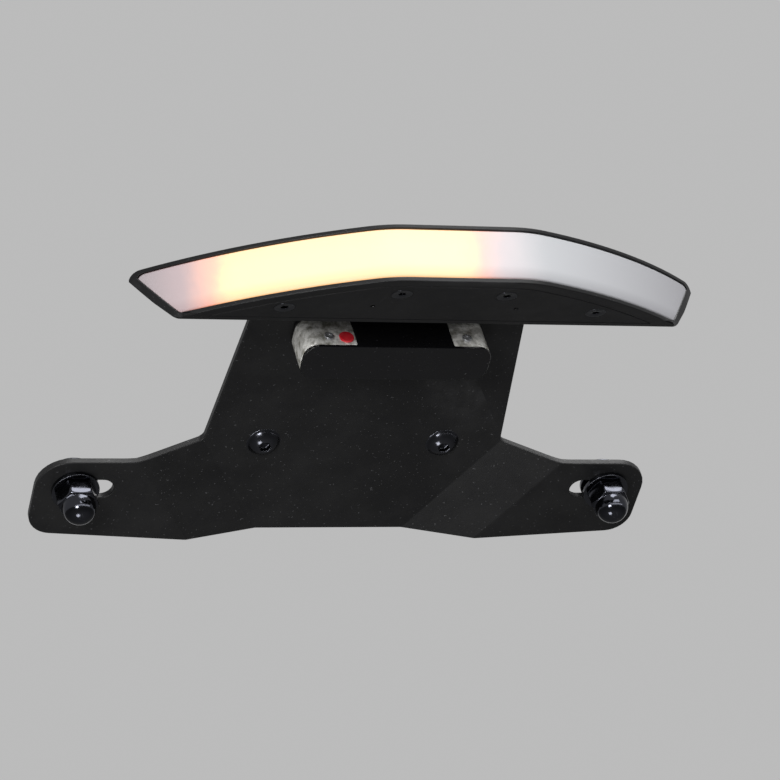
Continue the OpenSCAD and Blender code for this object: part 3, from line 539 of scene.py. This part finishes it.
# Base screws: four M3 countersunk socket screws in black zinc. They turn up through the plate
# into the housing's bosses, so their heads show from below.
BASE_SCREWS = ((13.8, -35.8), (41.4, -26.0))   # places in millimetres, mirrored to the left
BASE_SIZE = 3 * MM
BASE_PITCH = 0.5 * MM
BASE_SOCKET = 1.0 * MM         # depth of the socket
SUNK_ACROSS = 1.85             # a countersunk head's width and depth, in screw sizes
SUNK_DEPTH = 0.425
SOCKET_ACROSS = 0.55           # a socket's width across flats and its chamfer, in screw sizes
SOCKET_CHAMFER = 0.06
SOCKET_SHARP = 60              # how sharp a socket's corners are
THREAD_SHARE = 0.055           # depth of a thread as a share of its diameter
THREAD_ROWS = 8                # rows of points for each turn
ZINC_COLOUR = (0.064, 0.066, 0.076)
ZINC_EDGE = (0.16, 0.165, 0.18)
X_AXIS = np.array((1.0, 0.0, 0.0))
Z_AXIS = np.array((0.0, 0.0, 1.0))


def hexagon_ratio(columns, sharpness):
    """Radius of a soft hexagon over its half width: the sum over its six faces of
    max(cos(angle - face), 0)^s, to the power -1/s."""
    angle = np.linspace(0, 2 * math.pi, columns, endpoint=False)
    faces = np.arange(6) * math.pi / 3 + math.pi / 6
    towards = np.maximum(np.cos(angle[:, None] - faces), 0)
    return (towards ** sharpness).sum(1) ** (-1 / sharpness)


def turned(rows, columns=96, ratio=None):
    """Points of a turned skin: radius times (cos, sin) of each column's angle, at each row's
    height. A ratio, one number for each row and column, scales the radius."""
    angle = np.linspace(0, 2 * math.pi, columns, endpoint=False)
    radius = rows[:, :1] * (np.ones((1, columns)) if ratio is None else ratio)
    height = np.broadcast_to(rows[:, 1:], radius.shape)
    return np.stack((radius * np.cos(angle), radius * np.sin(angle), height), axis=-1)


def stand(points, place, axis):
    """Stands local points on a place, with their height along an axis that is square to X."""
    side = np.cross(axis, X_AXIS)
    return place + points[..., :1] * X_AXIS + points[..., 1:2] * side + points[..., 2:] * axis


def threaded(size, length, pitch, start, columns):
    """Rows of a threaded shank from a start down to -length, thinner at its chamfered tip, and
    what each point loses of its radius: a triangle wave of height over pitch minus angle, faded
    at both ends."""
    height = np.linspace(start, -length, int(length / pitch * THREAD_ROWS))
    chamfer = np.clip((length + height) / pitch, 0, 1)
    radius = size / 2 * (1 - 2 * THREAD_SHARE * (1 - chamfer))
    angle = np.linspace(0, 1, columns, endpoint=False)
    wave = np.abs(2 * ((height[:, None] / pitch - angle) % 1) - 1)
    ends = np.clip(np.minimum(-height, length + height) / pitch, 0, 1)[:, None]
    return np.stack((radius, height), 1), 2 * THREAD_SHARE * wave * ends


def socket_screw(size, head, across, socket_top, socket_depth, length, pitch, columns=96):
    """A socket screw about z, its shank down to -length: a hexagon socket from its floor up to its
    mouth, the head as a soft profile, then the thread."""
    half = across / 2
    floor = socket_top - socket_depth
    chamfer = SOCKET_CHAMFER * size
    socket = np.array((
        (0, floor - 0.12 * across), (0.7 * half, floor), (0.96 * half, floor),
        (half, floor + 0.04 * across), (half, socket_top - chamfer),
        (half * 1.02, socket_top - 0.4 * chamfer)))
    mouth_r = half / math.cos(math.pi / 6) + chamfer
    top = soft_corners([(mouth_r, socket_top, 0)] + list(head))
    shank, cut = threaded(size, length, pitch, 0, columns)
    rows = np.concatenate((socket, top, shank[1:], ((0, -length),)))
    hexed = np.zeros(len(rows))
    hexed[1:len(socket)] = 1
    ratio = hexagon_ratio(columns, SOCKET_SHARP)[None] ** hexed[:, None]
    ratio[len(socket) + len(top):-1] -= cut[1:]
    return turned(rows, columns, ratio)


def countersunk_head(size, head_r, head_h):
    """Corners of a countersunk head from its socket to the shank; the face is at height 0."""
    return ((head_r - 0.1 * MM, 0, 0.1 * MM), (head_r, -0.15 * MM, 0.1 * MM),
            (size / 2, -head_h, 0.15 * MM), (size / 2, -head_h - 0.3 * MM, 0))


def black_zinc():
    """Black passivated zinc: dark bluish metal, finely drawn, brighter where edges are rubbed."""
    material, principled = shader("black_zinc", ZINC_COLOUR, 0.18, metallic=1.0)
    patches = object_noise(material, 260, detail=5.0, rough=0.6)
    worn = math_node(material, "MULTIPLY", edge_wear(material, 0.54, 0.66),
                     span(material, patches, 0.4, 0.6, 0.2, 1))
    tint(material, principled, worn, ZINC_COLOUR, ZINC_EDGE)
    vary_gloss(material, principled, patches, 0.10, 0.28)
    bump_from(material, principled, object_noise(material, 2200, detail=2.0), 0.006 * MM, 0.5)
    return material


zinc = black_zinc()
base_low, base_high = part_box("bar_base_screws")
base_head = countersunk_head(BASE_SIZE, SUNK_ACROSS * BASE_SIZE / 2, SUNK_DEPTH * BASE_SIZE)
base_screw = socket_screw(BASE_SIZE, base_head, SOCKET_ACROSS * BASE_SIZE, 0, BASE_SOCKET,
                          base_high.z - base_low.z, BASE_PITCH)
skin("base_screws_black",
     [stand(base_screw, np.array((side * x * MM, y * MM, base_low.z)), -Z_AXIS)
      for x, y in BASE_SCREWS for side in (-1, 1)],
     ["bar_base_screws"], zinc)


# Bar screws and lead grommet: two M4 button heads hold the bar up against the tongue, and a
# rubber grommet between them lines the hole for the bar's lead.
TONGUE_AXES = np.array((X_AXIS, (0.0, 1.0, 0.0), Z_AXIS))
BAR_SIZE = 4 * MM
BAR_PITCH = 0.7 * MM
BUTTON_RISE = 0.55             # a button head's rise in screw sizes
BUTTON_WEB = 0.4               # what the socket leaves of that rise
GROMMET_FLANGE = 1.2 * MM      # thickness of the outer and the inner flange
GROMMET_INNER = 1.0 * MM
GROMMET_RADII = (4 * MM, 5.5 * MM, 4.8 * MM, 2 * MM)   # groove, outer flange, inner flange, bore


def button_screw(size, head_r, length, pitch):
    """A button head socket screw. Its cap is part of a ball: at a radius r it stands at
    rise - ball + sqrt(ball^2 - r^2), down to a short rim."""
    rise, across = BUTTON_RISE * size, SOCKET_ACROSS * size
    ball = (head_r ** 2 + rise ** 2) / (2 * rise)
    mouth_r = across / 2 / math.cos(math.pi / 6) + SOCKET_CHAMFER * size
    radii = np.linspace(mouth_r + 0.05 * size, head_r * 0.97, 7)
    heights = rise - ball + np.sqrt(ball ** 2 - radii ** 2)
    head = [(r, h, 0) for r, h in zip(radii, heights)]
    head += [(head_r, heights[-1] * 0.9, 0.1 * MM), (head_r, 0, 0.12 * MM), (size / 2, 0, 0.1 * MM),
             (size / 2, -0.3 * MM, 0)]
    socket_top = rise - ball + math.sqrt(ball ** 2 - mouth_r ** 2)
    socket_depth = socket_top - BUTTON_WEB * rise
    return socket_screw(size, head, across, socket_top, socket_depth, length, pitch)


def reach_along(node, axes):
    """Lowest and highest reach of a CAD node along three axes, from its mesh."""
    mesh = frame["nodes"][node].data
    flat = np.empty(len(mesh.vertices) * 3)
    mesh.vertices.foreach_get("co", flat)
    along = flat.reshape(-1, 3) @ axes.T
    return along.min(0), along.max(0)


def fit_in(name, node, points, axes, level, axis, material, about=None):
    """Stands a turned piece in its CAD node's place: midway between the reaches of the node that it
    is about, or else its own, along the first two axes, and at a level along the third."""
    low, high = reach_along(about or node, axes)
    place = np.array(((low[0] + high[0]) / 2, (low[1] + high[1]) / 2, level)) @ axes
    skin(name, [stand(points, place, axis)], [node], material)


def lead_grommet(name, node, axes):
    """A grommet's closed section turned round its axis: inner flange, groove, outer flange and
    bore. Its groove is as long as its CAD node leaves between the flanges."""
    groove_r, flange_r, inner_r, bore_r = GROMMET_RADII
    soft = 0.3 * MM
    low, high = reach_along(node, axes)
    groove = high[2] - low[2] - GROMMET_FLANGE - GROMMET_INNER
    top = groove + GROMMET_FLANGE
    section = ((bore_r, -GROMMET_INNER / 2, 0), (bore_r, -GROMMET_INNER, soft),
               (inner_r, -GROMMET_INNER, soft), (inner_r, 0, 0.1 * MM), (groove_r, 0, 0.08 * MM),
               (groove_r, groove, 0.08 * MM), (flange_r, groove, 0.1 * MM),
               (flange_r, top, 0.5 * MM), (bore_r, top, 0.4 * MM),
               (bore_r, -GROMMET_INNER / 2, 0))
    points = turned(soft_corners(section, 7))
    fit_in(name, node, points, axes, low[2] + GROMMET_INNER, axes[2], rubber)


for side in ("left", "right"):
    node = "bar_screw_" + side
    low, high = reach_along(node, TONGUE_AXES)
    screw = button_screw(BAR_SIZE, (high[0] - low[0]) / 2, -low[2], BAR_PITCH)
    fit_in(node + "_black", node, screw, TONGUE_AXES, 0, Z_AXIS, zinc)

lead_grommet("bar_grommet_rubber", "bar_lead_grommet", TONGUE_AXES)


# Plate lamp: a bright plated body on a rubber pad, with a glossy black cap whose tab folds down
# the near side, a clear window on the far side and a board with three white diodes inside.
LAMP_BRIGHT = (0.95, 0.94, 0.90)
# painted reflection: the dark side of the plating's mottled reflections
LAMP_DARK_MOTTLE = (0.29, 0.28, 0.24)
CAP_COLOUR = (0.0045, 0.0045, 0.0052)


def plated_plastic():
    """Bright plating gone hazy over moulded plastic: slow ripples, and dark patches painted in its
    colour that stand in for its mottled reflections.
    """
    material, principled = shader("plated_plastic", LAMP_BRIGHT, 0.25, metallic=0.1)
    reflection_mottle = object_noise(material, 420, detail=5.0, rough=0.7)
    # painted reflection: dark patches in the plating's colour stand in for its uneven reflections
    tint(material, principled, span(material, reflection_mottle, 0.43, 0.63, 0, 1), LAMP_BRIGHT, LAMP_DARK_MOTTLE)
    vary_gloss(material, principled, reflection_mottle, 0.14, 0.36)
    ripple = object_noise(material, 330, detail=2.0)
    ripple = bump_from(material, principled, ripple, 0.25 * MM, 0.8)
    pits = object_noise(material, 1500, detail=2.0)
    bump_from(material, principled, pits, 0.03 * MM, 0.6, below=ripple)
    return material


def gloss_plastic():
    """Glossy black moulding: nearly smooth, with faint flow marks, dust and fine scuffs."""
    material, principled = shader("gloss_black", CAP_COLOUR, 0.2, specular=0.35)
    marks = object_noise(material, 90, detail=5.0, rough=0.65)
    vary_gloss(material, principled, marks, 0.14, 0.3)
    specks = span(material, object_noise(material, 1900, detail=1.0), 0.72, 0.78, 0, 0.8)
    tint(material, principled, specks, CAP_COLOUR, SPECK_COLOUR)
    bump_from(material, principled, object_noise(material, 240, detail=3.0), 0.02 * MM, 0.4)
    return material


def clear_plastic():
    """Clear moulding: transmission with faint flow lines."""
    material, principled = shader("clear_plastic", (0.93, 0.95, 0.96), 0.06)
    principled.inputs["Transmission Weight"].default_value = 1.0
    principled.inputs["IOR"].default_value = 1.49
    flow = object_noise(material, 120, detail=2.0, stretch=(0.2, 1, 1))
    vary_gloss(material, principled, flow, 0.04, 0.1)
    bump_from(material, principled, flow, 0.02 * MM, 0.3)
    return material


dressed_copy("lamp_pad_rubber", "lamp_pad", 0.2 * MM, rubber)
dressed_copy("lamp_body_plated", "lamp_body", 0.3 * MM, plated_plastic())
dressed_copy("lamp_cap_gloss", "lamp_cap", 0.3 * MM, gloss_plastic())
dressed_copy("lamp_window_clear", "lamp_window", 0.15 * MM, clear_plastic())
green_board = solder_mask("green_board", (0.035, 0.15, 0.07), (0.02, 0.10, 0.045), 0.03 * MM)
carried_over("lamp_board", green_board)
carried_over("lamp_diodes", resin_over_chip("white_diode", (0.86, 0.84, 0.72), (0.90, 0.80, 0.35)))


# Lamp plug, side screws, fixing screws and lead grommet: a soft red plug closes the filling hole,
# two tiny screws hold the board, and two M3 screws through the neck hold the lamp.
ZINC_BRIGHT = (0.62, 0.63, 0.65)
ZINC_DULL = (0.42, 0.43, 0.45)
PLUG_RED = (0.84, 0.020, 0.036)
PLUG_HANDLED = (0.88, 0.055, 0.065)
PLUG_PROUD = 0.5 * MM          # thickness of the plug's head, and how far it overlaps its hole
SIDE_SIZE = 1.6 * MM
SIDE_PITCH = 0.35 * MM
SIDE_HEAD_R = 1.3 * MM
SIDE_HEAD_T = 0.7 * MM
SIDE_SOCKET = 0.42 * MM        # depth of the socket
LAMP_SIZE = 3 * MM
LAMP_PITCH = 0.5 * MM


def bright_zinc():
    """Bright zinc: pale metal with the milky patches of its passivation."""
    material, principled = shader("bright_zinc", ZINC_BRIGHT, 0.3, metallic=0.8)
    milk = object_noise(material, 340, detail=5.0, rough=0.65)
    tint(material, principled, span(material, milk, 0.42, 0.66, 0, 1), ZINC_BRIGHT, ZINC_DULL)
    vary_gloss(material, principled, milk, 0.22, 0.42)
    bump_from(material, principled, object_noise(material, 2600, detail=2.0), 0.006 * MM, 0.6)
    return material


def soft_red():
    """Soft red plastic: a little paler where it is handled, with a waxy unevenness."""
    material, principled = shader("soft_red", PLUG_RED, 0.4)
    wax = object_noise(material, 500, detail=3.0)
    tint(material, principled, span(material, wax, 0.4, 0.65, 0, 1), PLUG_RED, PLUG_HANDLED)
    vary_gloss(material, principled, wax, 0.32, 0.5)
    bump_from(material, principled, wax, 0.02 * MM, 0.4)
    return material


mounts = {mount["name"]: mount for mount in frame["record"]["mounts"]}
neck_up = np.array(mounts["neck_screws"]["axis"], float)      # square to the neck
neck_down = np.array((0.0, neck_up[2], -neck_up[1]))
NECK_AXES = np.array((X_AXIS, neck_down, neck_up))


def on_neck(place):
    """A point from its x, its distance down the neck and its level, square to the neck."""
    return np.asarray(place) @ NECK_AXES


bright = bright_zinc()

low, high = reach_along("lamp_plug", NECK_AXES)
plug_r, plug_l = (high[0] - low[0]) / 2, high[1] - low[1]
shank_r = plug_r - PLUG_PROUD
plug_section = ((0, 0, 0), (plug_r, 0, 0.3 * MM), (plug_r, -PLUG_PROUD, 0.08 * MM),
                (shank_r, -PLUG_PROUD, 0.08 * MM), (shank_r, -plug_l, 0.2 * MM), (0, -plug_l, 0))
plug_place = on_neck(((low[0] + high[0]) / 2, low[1], (low[2] + high[2]) / 2))
skin("lamp_plug_red", [stand(turned(soft_corners(plug_section)), plug_place, -neck_down)],
     ["lamp_plug"], soft_red())

low, high = reach_along("lamp_side_screws", NECK_AXES)
side_head = ((SIDE_HEAD_R, SIDE_HEAD_T, 0.3 * MM), (SIDE_HEAD_R, 0, 0.08 * MM),
             (SIDE_SIZE / 2, 0, 0.05 * MM), (SIDE_SIZE / 2, -0.2 * MM, 0))
side_screw = socket_screw(SIDE_SIZE, side_head, SIDE_HEAD_R * 0.95, SIDE_HEAD_T, SIDE_SOCKET,
                          high[1] - low[1] - SIDE_HEAD_T, SIDE_PITCH, columns=72)
level = (low[2] + high[2]) / 2
skin("lamp_side_screws_bright",
     [stand(side_screw, on_neck((x, low[1] + SIDE_HEAD_T, level)), -neck_down)
      for x in (low[0] + SIDE_HEAD_R, high[0] - SIDE_HEAD_R)],
     ["lamp_side_screws"], bright)

for side in ("left", "right"):
    node = "lamp_screw_" + side
    low, high = reach_along(node, NECK_AXES)
    level = high[2] - BUTTON_RISE * LAMP_SIZE
    screw = button_screw(LAMP_SIZE, (high[0] - low[0]) / 2, level - low[2], LAMP_PITCH)
    fit_in(node + "_black", node, screw, NECK_AXES, level, neck_up, zinc)

lead_grommet("lamp_grommet_rubber", "lamp_lead_grommet", NECK_AXES)


# Neck screws, collars and flange nuts: two M5 button heads show on the neck's lower face. Behind
# the neck each carries a turned collar and a flange nut, in bright zinc.
NECK_SIZE = 5 * MM
NECK_PITCH = 0.8 * MM
COLLAR_BORE_R = 2.75 * MM
NUT_ACROSS = 8 * MM
NUT_BORE_R = 2.55 * MM
NUT_FLANGE_T = 1.1 * MM
NUT_COLUMNS = 144              # points round a nut or a bolt head
NUT_SHARP = 70                 # how sharp their corners are


def soft_limit(first, second, sharpness=40):
    """The smaller of two radii with a soft change between them: (a^-s + b^-s)^(-1/s)."""
    unit = np.minimum(first, second)
    return unit * ((first / unit) ** -sharpness + (second / unit) ** -sharpness) ** (-1 / sharpness)


def hexed_ratio(rows, first, last, across):
    """Shares of the radius that hold the rows from first to last inside a hexagon."""
    ratio = np.ones((len(rows), NUT_COLUMNS))
    held = rows[first:last, :1]
    hexagon = across / 2 * hexagon_ratio(NUT_COLUMNS, NUT_SHARP)
    hexagon = np.broadcast_to(hexagon, (len(held), NUT_COLUMNS))
    ratio[first:last] = soft_limit(held, hexagon) / held
    return ratio


def ring(outer_r, inner_r, thickness, soft):
    """A washer's or collar's closed section turned round its axis, with soft corners."""
    section = ((inner_r, thickness / 2, 0), (inner_r, 0, soft), (outer_r, 0, soft),
               (outer_r, thickness, soft), (inner_r, thickness, soft), (inner_r, thickness / 2, 0))
    return turned(soft_corners(section))


def flange_nut(flange_r, across, height, bore_r):
    """A flange nut: bore, flange with a sloping top, then a hexagon with its end coned."""
    corner_r = across / 2 / math.cos(math.pi / 6)
    lower = soft_corners(((bore_r, height / 2, 0), (bore_r, 0, 0.3 * MM), (flange_r, 0, 0.2 * MM),
                          (flange_r, 0.5 * MM, 0.15 * MM), (corner_r + 0.15 * MM, NUT_FLANGE_T, 0)))
    top = np.stack((np.linspace(corner_r + 0.1 * MM, 0.49 * across, 9),
                    np.concatenate((np.linspace(NUT_FLANGE_T, height - 0.9 * MM, 3),
                                    height - np.linspace(0.7, 0, 6) ** 1.6 * MM))), 1)
    upper = soft_corners(((0.49 * across, height, 0), (0.46 * across, height, 0),
                          (bore_r, height, 0.3 * MM), (bore_r, height / 2, 0)))
    rows = np.concatenate((lower, top, upper))
    last = len(lower) + len(top) + 1
    return turned(rows, NUT_COLUMNS, hexed_ratio(rows, len(lower), last, across))


for side in ("left", "right"):
    node = "neck_screw_" + side
    low, high = reach_along(node, NECK_AXES)
    level = low[2] + BUTTON_RISE * NECK_SIZE
    screw = button_screw(NECK_SIZE, (high[0] - low[0]) / 2, high[2] - level, NECK_PITCH)
    fit_in(node + "_black", node, screw, NECK_AXES, level, -neck_up, zinc)

    node = "neck_collar_" + side
    low, high = reach_along(node, NECK_AXES)
    collar = ring((high[0] - low[0]) / 2, COLLAR_BORE_R, high[2] - low[2], 0.35 * MM)
    fit_in(node + "_bright", node, collar, NECK_AXES, low[2], neck_up, bright)

    node = "neck_nut_" + side
    low, high = reach_along(node, NECK_AXES)
    nut = flange_nut((high[0] - low[0]) / 2, NUT_ACROSS, high[2] - low[2], NUT_BORE_R)
    fit_in(node + "_bright", node, nut, NECK_AXES, low[2], neck_up, bright,
           about="neck_collar_" + side)


# Plate bolts, washers and dome nuts: M6 hexagon bolts come down through washers and the ears'
# slots; the polished black dome nuts stand below the ears and would clamp a number plate.
PLATE_SIZE = 6 * MM
PLATE_PITCH = 1.0 * MM
PLATE_ACROSS = 10 * MM
PLATE_HEAD = 0.65              # height of the bolt's head in bolt sizes
WASHER_BORE_R = 3.25 * MM
DOME_BORE_R = 3.05 * MM
DOME_COLOUR = (0.052, 0.054, 0.064)
DOME_EDGE = (0.14, 0.145, 0.16)


def hexagon_bolt(size, across, head_h, length, pitch):
    """A hexagon bolt about z: head up from 0, its corners coned, shank down to -length."""
    corner_r = across / 2 / math.cos(math.pi / 6)
    cone = np.linspace(0, 1, 7)
    crown = np.stack((0.47 * across + (corner_r - 0.47 * across) * cone,
                      head_h - 0.75 * MM * cone ** 1.7), 1)
    wall = np.array(((corner_r, head_h * 0.5), (corner_r, 0.12 * MM), (corner_r - 0.1 * MM, 0.0)))
    neck = np.array(((size / 2 + 0.12 * MM, 0.0), (size / 2, -0.1 * MM)))
    shank, cut = threaded(size, length, pitch, -0.2 * MM, NUT_COLUMNS)
    middle = ((0, head_h), (0.44 * across, head_h))
    rows = np.concatenate((middle, crown, wall, neck, shank, ((0, -length),)))
    last = len(middle) + len(crown) + len(wall)
    ratio = hexed_ratio(rows, len(middle), last, across)
    ratio[last + len(neck):-1] -= cut
    return turned(rows, NUT_COLUMNS, ratio)


def dome_nut(across, height, bore_r):
    """A dome nut about z, its open face on 0: bore, hexagon coned at both ends, neck, ball."""
    corner_r = across / 2 / math.cos(math.pi / 6)
    hex_h, ball_r = 0.5 * height, 0.46 * across
    depth = 0.65 * height
    bore = soft_corners(((0, depth, 0), (bore_r, depth - 0.8 * MM, 0.2 * MM),
                         (bore_r, 0, 0.35 * MM), (0.44 * across, 0, 0)))
    foot = np.linspace(0, 1, 5)
    rise = np.linspace(0, 1, 8)
    hexagon = np.concatenate((
        np.stack((0.47 * across + (corner_r - 0.47 * across) * foot, 0.45 * MM * foot ** 1.6), 1),
        np.stack((corner_r - (corner_r - 0.475 * across) * rise,
                  hex_h - 0.75 * MM * (1 - rise) ** 1.6), 1)))
    angle = np.linspace(0, math.pi / 2, 28)
    dome = np.stack((ball_r * np.cos(angle), height - ball_r + ball_r * np.sin(angle)), 1)
    collar = np.array(((ball_r + 0.04 * MM, hex_h + 0.02 * MM), (ball_r, hex_h + 0.12 * MM)))
    rows = np.concatenate((bore, hexagon, collar, dome))
    return turned(rows, NUT_COLUMNS, hexed_ratio(rows, len(bore), len(bore) + len(hexagon), across))


def polished_black():
    """Polished black nut: dark chromed metal, nearly a mirror, with faint wiping marks."""
    material, principled = shader("polished_black", DOME_COLOUR, 0.1, metallic=1.0)
    marks = object_noise(material, 420, detail=4.0)
    tint(material, principled, edge_wear(material, 0.55, 0.68), DOME_COLOUR, DOME_EDGE)
    vary_gloss(material, principled, marks, 0.06, 0.2)
    bump_from(material, principled, object_noise(material, 900, detail=2.0), 0.008 * MM, 0.4)
    return material


mirror_black = polished_black()
for side in ("left", "right"):
    node = "plate_bolt_" + side
    low, high = reach_along(node, NECK_AXES)
    head_h = PLATE_HEAD * PLATE_SIZE
    level = high[2] - head_h
    bolt = hexagon_bolt(PLATE_SIZE, PLATE_ACROSS, head_h, level - low[2], PLATE_PITCH)
    fit_in(node + "_black", node, bolt, NECK_AXES, level, neck_up, zinc)

    for node in ("bolt_washer_" + side, "nut_washer_" + side):
        low, high = reach_along(node, NECK_AXES)
        washer = ring((high[0] - low[0]) / 2, WASHER_BORE_R, high[2] - low[2], 0.2 * MM)
        fit_in(node + "_black", node, washer, NECK_AXES, low[2], neck_up, zinc,
               about="plate_bolt_" + side)

    node = "dome_nut_" + side
    low, high = reach_along(node, NECK_AXES)
    nut = dome_nut(PLATE_ACROSS, high[2] - low[2], DOME_BORE_R)
    fit_in(node + "_polished", node, nut, NECK_AXES, high[2], -neck_up,
           mirror_black, about="plate_bolt_" + side)


# Stage: a pale floor well below, an even pale surround, the camera at the photograph's angle, and
# soft lamps: one above, one and a low strip behind the camera, one low on the left, one beneath.
PALE = 0.50                    # how pale the surround and the floor look
FLOOR_GREY = 0.22              # how much light the floor throws back
AMBIENT = 0.46                 # even light from all round
FLOOR_Z = -1.1
FLOOR_HALF = 12.0


def choose(owner, share, lit, seen):
    """The lit shader where a share is 0 and the seen one where it is 1."""
    blend = add_node(owner, "ShaderNodeMixShader")
    for source, socket in zip((share, lit, seen), blend.inputs):
        link(owner, source, socket)
    return blend.outputs["Shader"]


floor_mesh = bpy.data.meshes.new("floor")
floor_mesh.from_pydata([(-FLOOR_HALF, -FLOOR_HALF, FLOOR_Z), (FLOOR_HALF, -FLOOR_HALF, FLOOR_Z),
                        (FLOOR_HALF, FLOOR_HALF, FLOOR_Z), (-FLOOR_HALF, FLOOR_HALF, FLOOR_Z)],
                       [], [(0, 1, 2, 3)])
floor = bpy.data.objects.new("floor", floor_mesh)
bpy.context.scene.collection.objects.link(floor)
floor_material, matt = shader("floor", (FLOOR_GREY, FLOOR_GREY, FLOOR_GREY), 0.9, specular=0.1)
pale = add_node(floor_material, "ShaderNodeEmission", Color=(PALE, PALE, PALE, 1))
path = add_node(floor_material, "ShaderNodeLightPath")
link(floor_material, choose(floor_material, path.outputs["Is Camera Ray"], matt.outputs["BSDF"],
                            pale.outputs["Emission"]),
     floor_material.node_tree.nodes["Material Output"].inputs["Surface"])
floor_mesh.materials.append(floor_material)

world = bpy.data.worlds.new("surround")
bpy.context.scene.world = world
world.use_nodes = True
lit = world.node_tree.nodes["Background"]
lit.inputs["Color"].default_value = (AMBIENT, AMBIENT, AMBIENT, 1)
seen = add_node(world, "ShaderNodeBackground", Color=(PALE, PALE, PALE, 1))
path = add_node(world, "ShaderNodeLightPath")
straight = math_node(world, "MAXIMUM", path.outputs["Is Camera Ray"], path.outputs["Is Glossy Ray"])
straight = math_node(world, "MAXIMUM", straight, path.outputs["Is Transmission Ray"])
link(world, choose(world, straight, lit.outputs["Background"], seen.outputs["Background"]),
     world.node_tree.nodes["World Output"].inputs["Surface"])

centre = (cad_low + cad_high) / 2


def soft_lamp(name, place, width, height, power):
    """A wide soft lamp that looks at the object."""
    data = bpy.data.lights.new(name, "AREA")
    data.shape = "RECTANGLE"
    data.size = width
    data.size_y = height
    data.energy = power
    lamp = bpy.data.objects.new(name, data)
    lamp.location = place
    lamp.rotation_euler = (centre - Vector(place)).to_track_quat("-Z", "Y").to_euler()
    bpy.context.scene.collection.objects.link(lamp)


soft_lamp("top", (0.40, -0.34, 1.20), 1.3, 0.45, 15.0)
soft_lamp("front", (0.37, -1.15, 0.49), 1.1, 0.35, 7.0)
soft_lamp("strip", (0.37, -1.20, 0.00), 2.4, 0.12, 4.5)
soft_lamp("low", (-0.55, -0.86, -0.22), 0.3, 0.2, 6.0)
soft_lamp("under", (-0.30, -0.22, -0.92), 0.3, 0.3, 2.4)

EYE = Vector((-0.2725, -0.7494, -0.3129))      # fitted to the photograph
EYE_UP = Vector((-0.0213, -0.3867, 0.9219))
FOCAL = 152
camera_data = bpy.data.cameras.new("camera")
camera_data.lens = FOCAL
camera_data.sensor_width = 36
camera = bpy.data.objects.new("camera", camera_data)
look = (centre - EYE).normalized()
right = look.cross(EYE_UP).normalized()
up = right.cross(look)
camera.matrix_world = Matrix.Translation(EYE) @ Matrix((right, up, -look)).transposed().to_4x4()
bpy.context.scene.collection.objects.link(camera)
bpy.context.scene.camera = camera
bpy.context.scene.view_settings.view_transform = "Standard"
